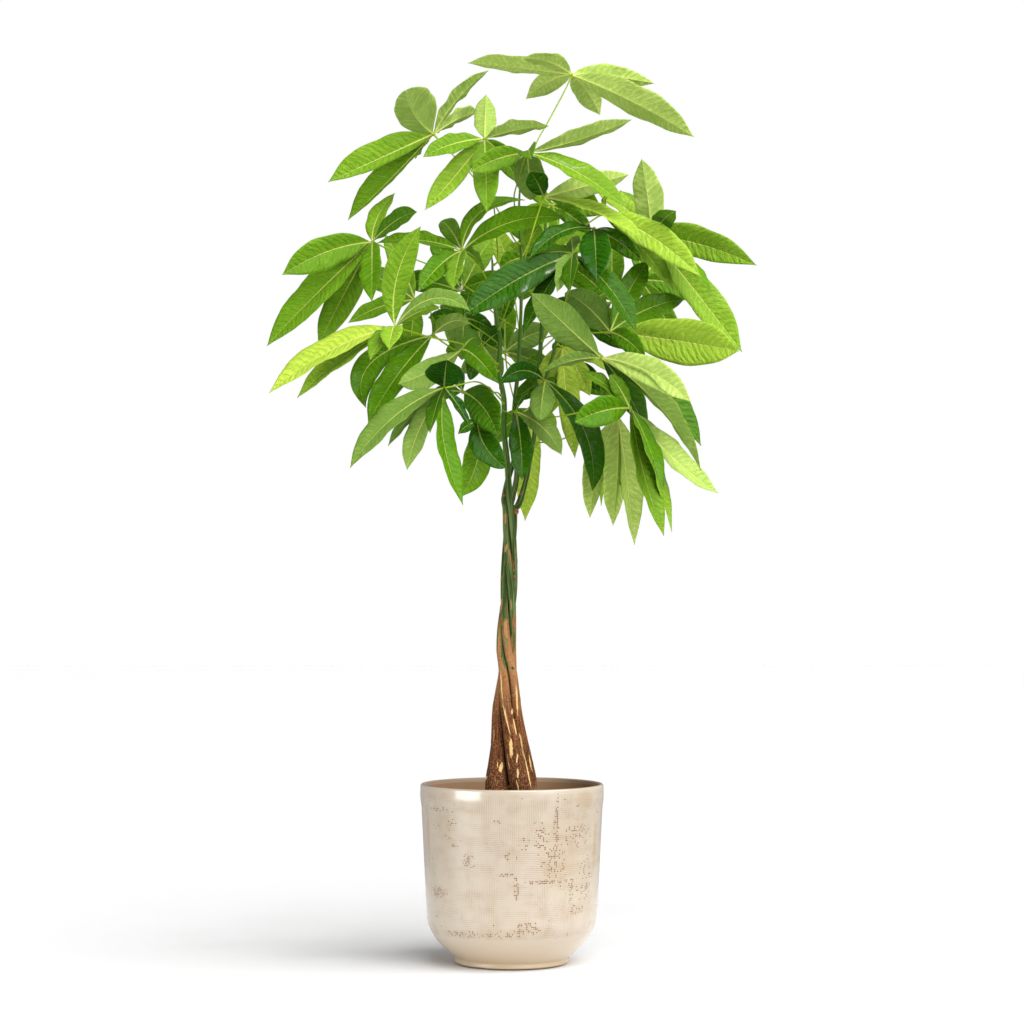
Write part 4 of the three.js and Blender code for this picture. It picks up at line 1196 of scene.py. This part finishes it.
def leaflet_rings(hub, row, settings, rng):
    """A leaflet as flat rings round its blade. The midrib is a quadratic Bezier from the hub to the tip.
    Across it the blade rises by the fold on both sides, bulges between midrib and margin, and waves at the
    margin by a sine along the length. The midrib stands out below. Gives rings, the blade field, and how far
    round to the underside and out to the margin each point lies."""
    across, down, behind, width = row[:4]
    left, right, lean = [*row[6:], *(1, 1, OUTLINE_LEAN)[len(row[6:]):]]
    start = seen(hub)
    tip = seen([across, down, hub[2] + behind])
    full_length = np.linalg.norm(tip - start)
    if len(row) > 4:
        middle = seen([(hub[0] + across) / 2 + row[4], (hub[1] + down) / 2 + row[5], hub[2] + behind / 2])
    else:
        middle = (start + tip) / 2 + [0, 0, BLADE_ARCH * full_length]
    share = np.linspace(0, 1, settings.rows + 1)
    share = share - ROW_CROWDING * np.sin(2 * math.pi * share)
    midrib = quadratic(start, 2 * middle - (start + tip) / 2, tip, share)
    share = share[:, None]
    along = unit(tip - start)
    to_eye = np.array([0, -EYE_DISTANCE, EYE_HEIGHT]) - middle
    face = unit(to_eye - along * (to_eye @ along)) * np.sign(width)
    shown = abs(width) * (EYE_DISTANCE + middle[1]) / FOCAL_PIXELS
    full = max(shown, full_length / BLADE_SLIMNESS)
    tilt = math.acos(shown / full)
    sideways = np.cross(along, face)
    rise = np.sign(sideways[2]) or 1
    top = face * math.cos(tilt) + sideways * rise * math.sin(tilt)
    side, up = carried_frames(midrib, np.cross(along, top))

    phase = rng.random(6) * 2 * math.pi
    even = np.linspace(-1, 1, settings.columns)
    s = np.sign(even) * np.abs(even) ** COLUMN_CROWDING
    point = 0.0 if full > BROAD_BLADE * full_length else SHARP_TIP
    lean = lean * (1 + 0.05 * math.sin(phase[4]))
    reach = full / 2 * outline(share, point, lean)
    uneven = UNEVEN_MARGIN * (np.sin(11 * share + phase[2:4]) + 0.6 * np.sin(23 * share + phase[4:6]))
    sides = [left, right] if width < 0 else [right, left]
    reach = reach * np.where(s > 0, sides[0] * (1 + uneven[:, :1]), sides[1] * (1 + uneven[:, 1:]))
    half = np.maximum(reach, FOOT_HALF_WIDTH * (1 - share) + TIP_HALF_WIDTH)
    d = np.abs(s) * half
    turns = 2.2 + rng.random()
    swing = np.where(s < 0, np.sin(2 * math.pi * turns * share + phase[0]),
                     np.sin(2 * math.pi * (turns + 0.4) * share + phase[1]))
    fade = np.sin(math.pi * share)
    ripple = np.sin(2 * math.pi * (share * full_length - VEIN_LEAN * d) / (2.4 * settings.vein_pitch))
    wave = settings.wave * fade * (s**2 * swing * half / half.max() + 0.3 * np.abs(s) ** 1.5 * ripple)
    raised = half * math.sin(BLADE_FOLD) * (np.abs(s) + BLADE_BULGE * (np.abs(s) - s**2)) + wave
    middle_sheet = (midrib[:, None] + side[:, None] * (s * half * math.cos(BLADE_FOLD))[..., None]
                    + up[:, None] * raised[..., None])
    sheet = settings.thickness / 2 * (1 - 0.6 * s**2) * np.ones_like(half)
    rib = np.exp(-((d / RIB_HALF_WIDTH) ** 2)) * (1 - 0.75 * share)
    upper = middle_sheet + up[:, None] * (sheet + RIB_ABOVE * rib)[..., None]
    lower = middle_sheet - up[:, None] * (sheet + RIB_BELOW * rib)[..., None]

    vein = (share * full_length - VEIN_LEAN * d - VEIN_BOW * d**2) / settings.vein_pitch
    vein = vein + np.where(s < 0, 0.5, 0.0)
    edge = np.broadcast_to(np.abs(s), d.shape)
    blade = np.stack([np.broadcast_to(share, d.shape), vein, d], axis=-1)
    below = np.concatenate([np.zeros_like(edge), np.ones_like(edge)], axis=1)
    rings, blade, edge = (np.concatenate([first, second[:, ::-1]], axis=1)
                          for first, second in ((upper, lower), (blade, blade), (edge, edge)))
    return rings, blade, below, edge


def leaf_shells(leaf, settings):
    """A palmate leaf: a stalk that swells at both ends, a small hub, and its leaflets."""
    name, stem_number, row, bends, leaflets = leaf
    rng = np.random.default_rng(sum(map(ord, name)))
    ages = AGES.get(name) or [MIDDLE_AGE + AGE_SPREAD * (rng.random() - 0.5) for _ in leaflets]
    carrier, carrier_radius = stem_at(stem_number - 1, seen([VIEW_CENTRE, row, 0])[2])
    bend_points = np.array([seen(bend) for bend in bends])
    outward = unit((bend_points[0] - carrier) * [1, 1, 0])
    base = carrier + outward * (carrier_radius + STALK_GAP)
    rise = np.array([0, 0, 0.7 * np.sign(bend_points[0][2] - base[2])])
    lead = unit(outward + rise) * min(STALK_LEAD, 0.4 * np.linalg.norm(bend_points[0] - base))
    knots = np.vstack([base, base + lead, bend_points])
    share = np.linspace(0, 1, 33)
    path = smooth_curve(knots, share * (len(knots) - 1))
    path = np.vstack([carrier + outward * (carrier_radius - STALK_SINK), path])
    share = np.concatenate([[0], share])
    swell = 0.8 * np.exp(-((share / STALK_SWELL) ** 2)) + 0.6 * np.exp(-(((1 - share) / STALK_SWELL) ** 2))
    radii = (STALK_RADIUS - STALK_WAIST * np.sin(math.pi * share) + swell)[:, None]
    stalk_age = 0.5 + 0.3 * (np.mean(np.abs(ages)) - 0.4)
    shells = Shells()
    for rings in (tube(path, radii, 10, (-outward[1], outward[0], 0)),
                  ball(path[-1], path[-1] - path[-4], HUB_RADIUS * 0.9, HUB_RADIUS)):
        shells.add(rings, blade=np.array([-1, 0, 0]), look=np.array([0, stalk_age, 0]))
    for leaflet, age in zip(leaflets, ages):
        rings, blade, below, edge = leaflet_rings(bends[-1], leaflet, settings, rng)
        below = 1 - below if age < 0 else below
        shells.add(rings, blade=blade, look=np.stack([below, np.full_like(below, abs(age)), edge], axis=-1))
    return shells


# Stage

def lay_floor(settings):
    """A white floor. What it gives back falls beyond the paper, but the camera sees one even white."""
    half = settings.floor_size / 2 * METRE
    material, shader, place = blank_material("white_floor")
    paper = step(size_of(place), 0.3 * settings.paper, settings.paper, settings.near, settings.beyond)
    by_camera = put(place.tree, "LightPath", out="Is Camera Ray")
    feed(shader, {"Base Color": blend(by_camera, paper, [settings.white] * 3),
                  "Roughness": step(mottle(place, 300, 1.0), 0.0, 1.0, 0.85, 0.95)})
    corners = [[-half, -half, 0], [half, -half, 0], [half, half, 0], [-half, half, 0]]
    mesh_piece("floor", corners, [[0, 1, 2, 3]], material)


def white_room(settings):
    """A world that the camera sees white, and whose walls and ceiling give light by their own amounts."""
    world = bpy.data.worlds.new("white_room")
    world.use_nodes = True
    room = world.node_tree
    across, away, up = parts(put(room, "TexCoord", out="Generated"))
    bright = (step(across, 0.0, 0.8, 0.0, settings.sky_right)
              + step(away, 0.0, 0.8, settings.sky_front, settings.sky_back)
              + step(across, -0.8, 0.0, settings.sky_left, 0.0)
              + step(up, 0.3, 0.9, 0.0, settings.sky_top))
    seen_white = bright.most(put(room, "LightPath", out="Is Camera Ray"))
    feed(room.nodes["Background"], {"Strength": seen_white, "Color": (1, 1, 1, 1)})
    return world


def place_object(name, data, place):
    """A camera or a light at its place, in metres."""
    made = bpy.data.objects.new(name, data)
    made.location = place
    bpy.context.scene.collection.objects.link(made)
    return made


def light(name, kind, strength, place, comes_from, **more):
    """A light that shines from that direction."""
    lamp = bpy.data.lights.new(name, kind)
    lamp.energy = strength
    for key, value in more.items():
        setattr(lamp, key, value)
    place_object(name, lamp, place).rotation_euler = Vector(comes_from).to_track_quat("Z", "Y").to_euler()


# Operators

def hand_over(piece, node=None):
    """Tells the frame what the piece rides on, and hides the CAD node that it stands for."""
    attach(piece, "root")
    if node:
        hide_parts(node)


class PLANT_OT_pot(bpy.types.Operator):
    """Turn the glazed pot with its woven relief"""

    bl_idname = "plant.pot"
    bl_label = "Pot"

    def execute(self, context):
        settings = context.scene.plant_pot
        profile, climb, _ = pot_climb()
        points, faces, corners = turned_mesh(profile, climb, settings.sides)
        piece = mesh_piece("pot_glazed", points, faces, glaze_material(settings))
        layer = piece.data.uv_layers.new(name="glaze")
        layer.uv.foreach_set("vector", corners.astype(np.float32).ravel())
        hand_over(piece, "pot")
        return {"FINISHED"}


class PLANT_OT_soil(bpy.types.Operator):
    """Finish the soil and scatter crumbs on it"""

    bl_idname = "plant.soil"
    bl_label = "Soil"

    def execute(self, context):
        material = soil_material()
        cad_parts["soil"].data.materials.clear()
        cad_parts["soil"].data.materials.append(material)
        piece = mesh_piece("soil_crumbs", *soil_crumbs(), material)
        piece.data.shade_flat()
        hand_over(piece)
        return {"FINISHED"}


class PLANT_OT_trunk(bpy.types.Operator):
    """Grow the four twisted stems with their scars"""

    bl_idname = "plant.trunk"
    bl_label = "Trunk"

    def execute(self, context):
        settings = context.scene.plant_trunk
        material = bark_material(settings)
        for number in range(4):
            shells = Shells()
            rings, bark, furrow = stem_rings(number, settings.sides)
            shells.add(rings, bark=bark, furrow=furrow)
            node = f"stem_{number + 1}"
            hand_over(shells.piece(f"{node}_bark", material), node)
        scars = Shells()
        for stem_number, height, side, size in SCARS:
            middle, radius = stem_at(stem_number - 1, height)
            outward = np.array([math.cos(math.radians(side)), math.sin(math.radians(side)), 0])
            scars.add(ball(middle + outward * (radius - SCAR_SINK), outward, 0.5 * size, size))
        hand_over(scars.piece("stem_scars", scar_material()))
        return {"FINISHED"}


class PLANT_OT_leaves(bpy.types.Operator):
    """Grow every palmate leaf on its stalk"""

    bl_idname = "plant.leaves"
    bl_label = "Leaves"

    def execute(self, context):
        settings = context.scene.plant_leaves
        material = leaf_material(settings)
        for leaf in LEAVES:
            hand_over(leaf_shells(leaf, settings).piece(f"{leaf[0]}_blades", material), leaf[0])
        for leaf in INNER_LEAVES:
            hand_over(leaf_shells(leaf, settings).piece(leaf[0], material))
        return {"FINISHED"}


class PLANT_OT_stage(bpy.types.Operator):
    """Lay the white floor and set the light and the camera"""

    bl_idname = "plant.stage"
    bl_label = "Stage"

    def execute(self, context):
        settings = context.scene.plant_stage
        scene = context.scene
        lay_floor(settings)
        scene.world = white_room(settings)
        light("key", "SUN", settings.key, (0, 0, 0), settings.key_side, angle=settings.key_width)
        place = settings.window_place
        light("window", "AREA", settings.window, place, (place[0], place[1], 0), shape="RECTANGLE",
              size=settings.window_size[0], size_y=settings.window_size[1])
        place = settings.spark_place
        light("spark", "AREA", settings.spark, place, place, size=settings.spark_size)
        camera = bpy.data.cameras.new("camera")
        camera.sensor_width = SENSOR_WIDTH
        camera.lens = SENSOR_WIDTH * FOCAL_PIXELS / FRAME_PIXELS
        camera.clip_end = 100
        eye = place_object("camera", camera, (0, -EYE_DISTANCE / METRE, EYE_HEIGHT / METRE))
        eye.rotation_euler = (math.pi / 2 + EYE_TILT, 0, 0)
        scene.camera = eye
        scene.view_settings.view_transform = "Standard"
        return {"FINISHED"}


class PLANT_PT_panel(bpy.types.Panel):
    """Lists the steps and their settings"""

    bl_label = "Money Tree"
    bl_idname = "PLANT_PT_panel"
    bl_space_type = "VIEW_3D"
    bl_region_type = "UI"
    bl_category = "Money Tree"

    def draw(self, context):
        for part in ("pot", "soil", "trunk", "leaves", "stage"):
            box = self.layout.box()
            box.operator(f"plant.{part}")
            settings = getattr(context.scene, f"plant_{part}", None)
            for name in settings.__annotations__ if settings else ():
                box.prop(settings, name)


SETTINGS = {"pot": PotSettings, "trunk": TrunkSettings, "leaves": LeafSettings, "stage": StageSettings}
OPERATORS = [PLANT_OT_pot, PLANT_OT_soil, PLANT_OT_trunk, PLANT_OT_leaves, PLANT_OT_stage]


def register():
    for kind in [*SETTINGS.values(), *OPERATORS, PLANT_PT_panel]:
        bpy.utils.register_class(kind)
    for part, kind in SETTINGS.items():
        setattr(bpy.types.Scene, f"plant_{part}", PointerProperty(type=kind))


def unregister():
    for part in SETTINGS:
        delattr(bpy.types.Scene, f"plant_{part}")
    for kind in [PLANT_PT_panel, *reversed(OPERATORS), *reversed(SETTINGS.values())]:
        bpy.utils.unregister_class(kind)


def main():
    register()
    bpy.ops.plant.stage()
    bpy.ops.plant.pot()
    bpy.ops.plant.soil()
    bpy.ops.plant.trunk()
    bpy.ops.plant.leaves()


if __name__ == "__main__":
    main()
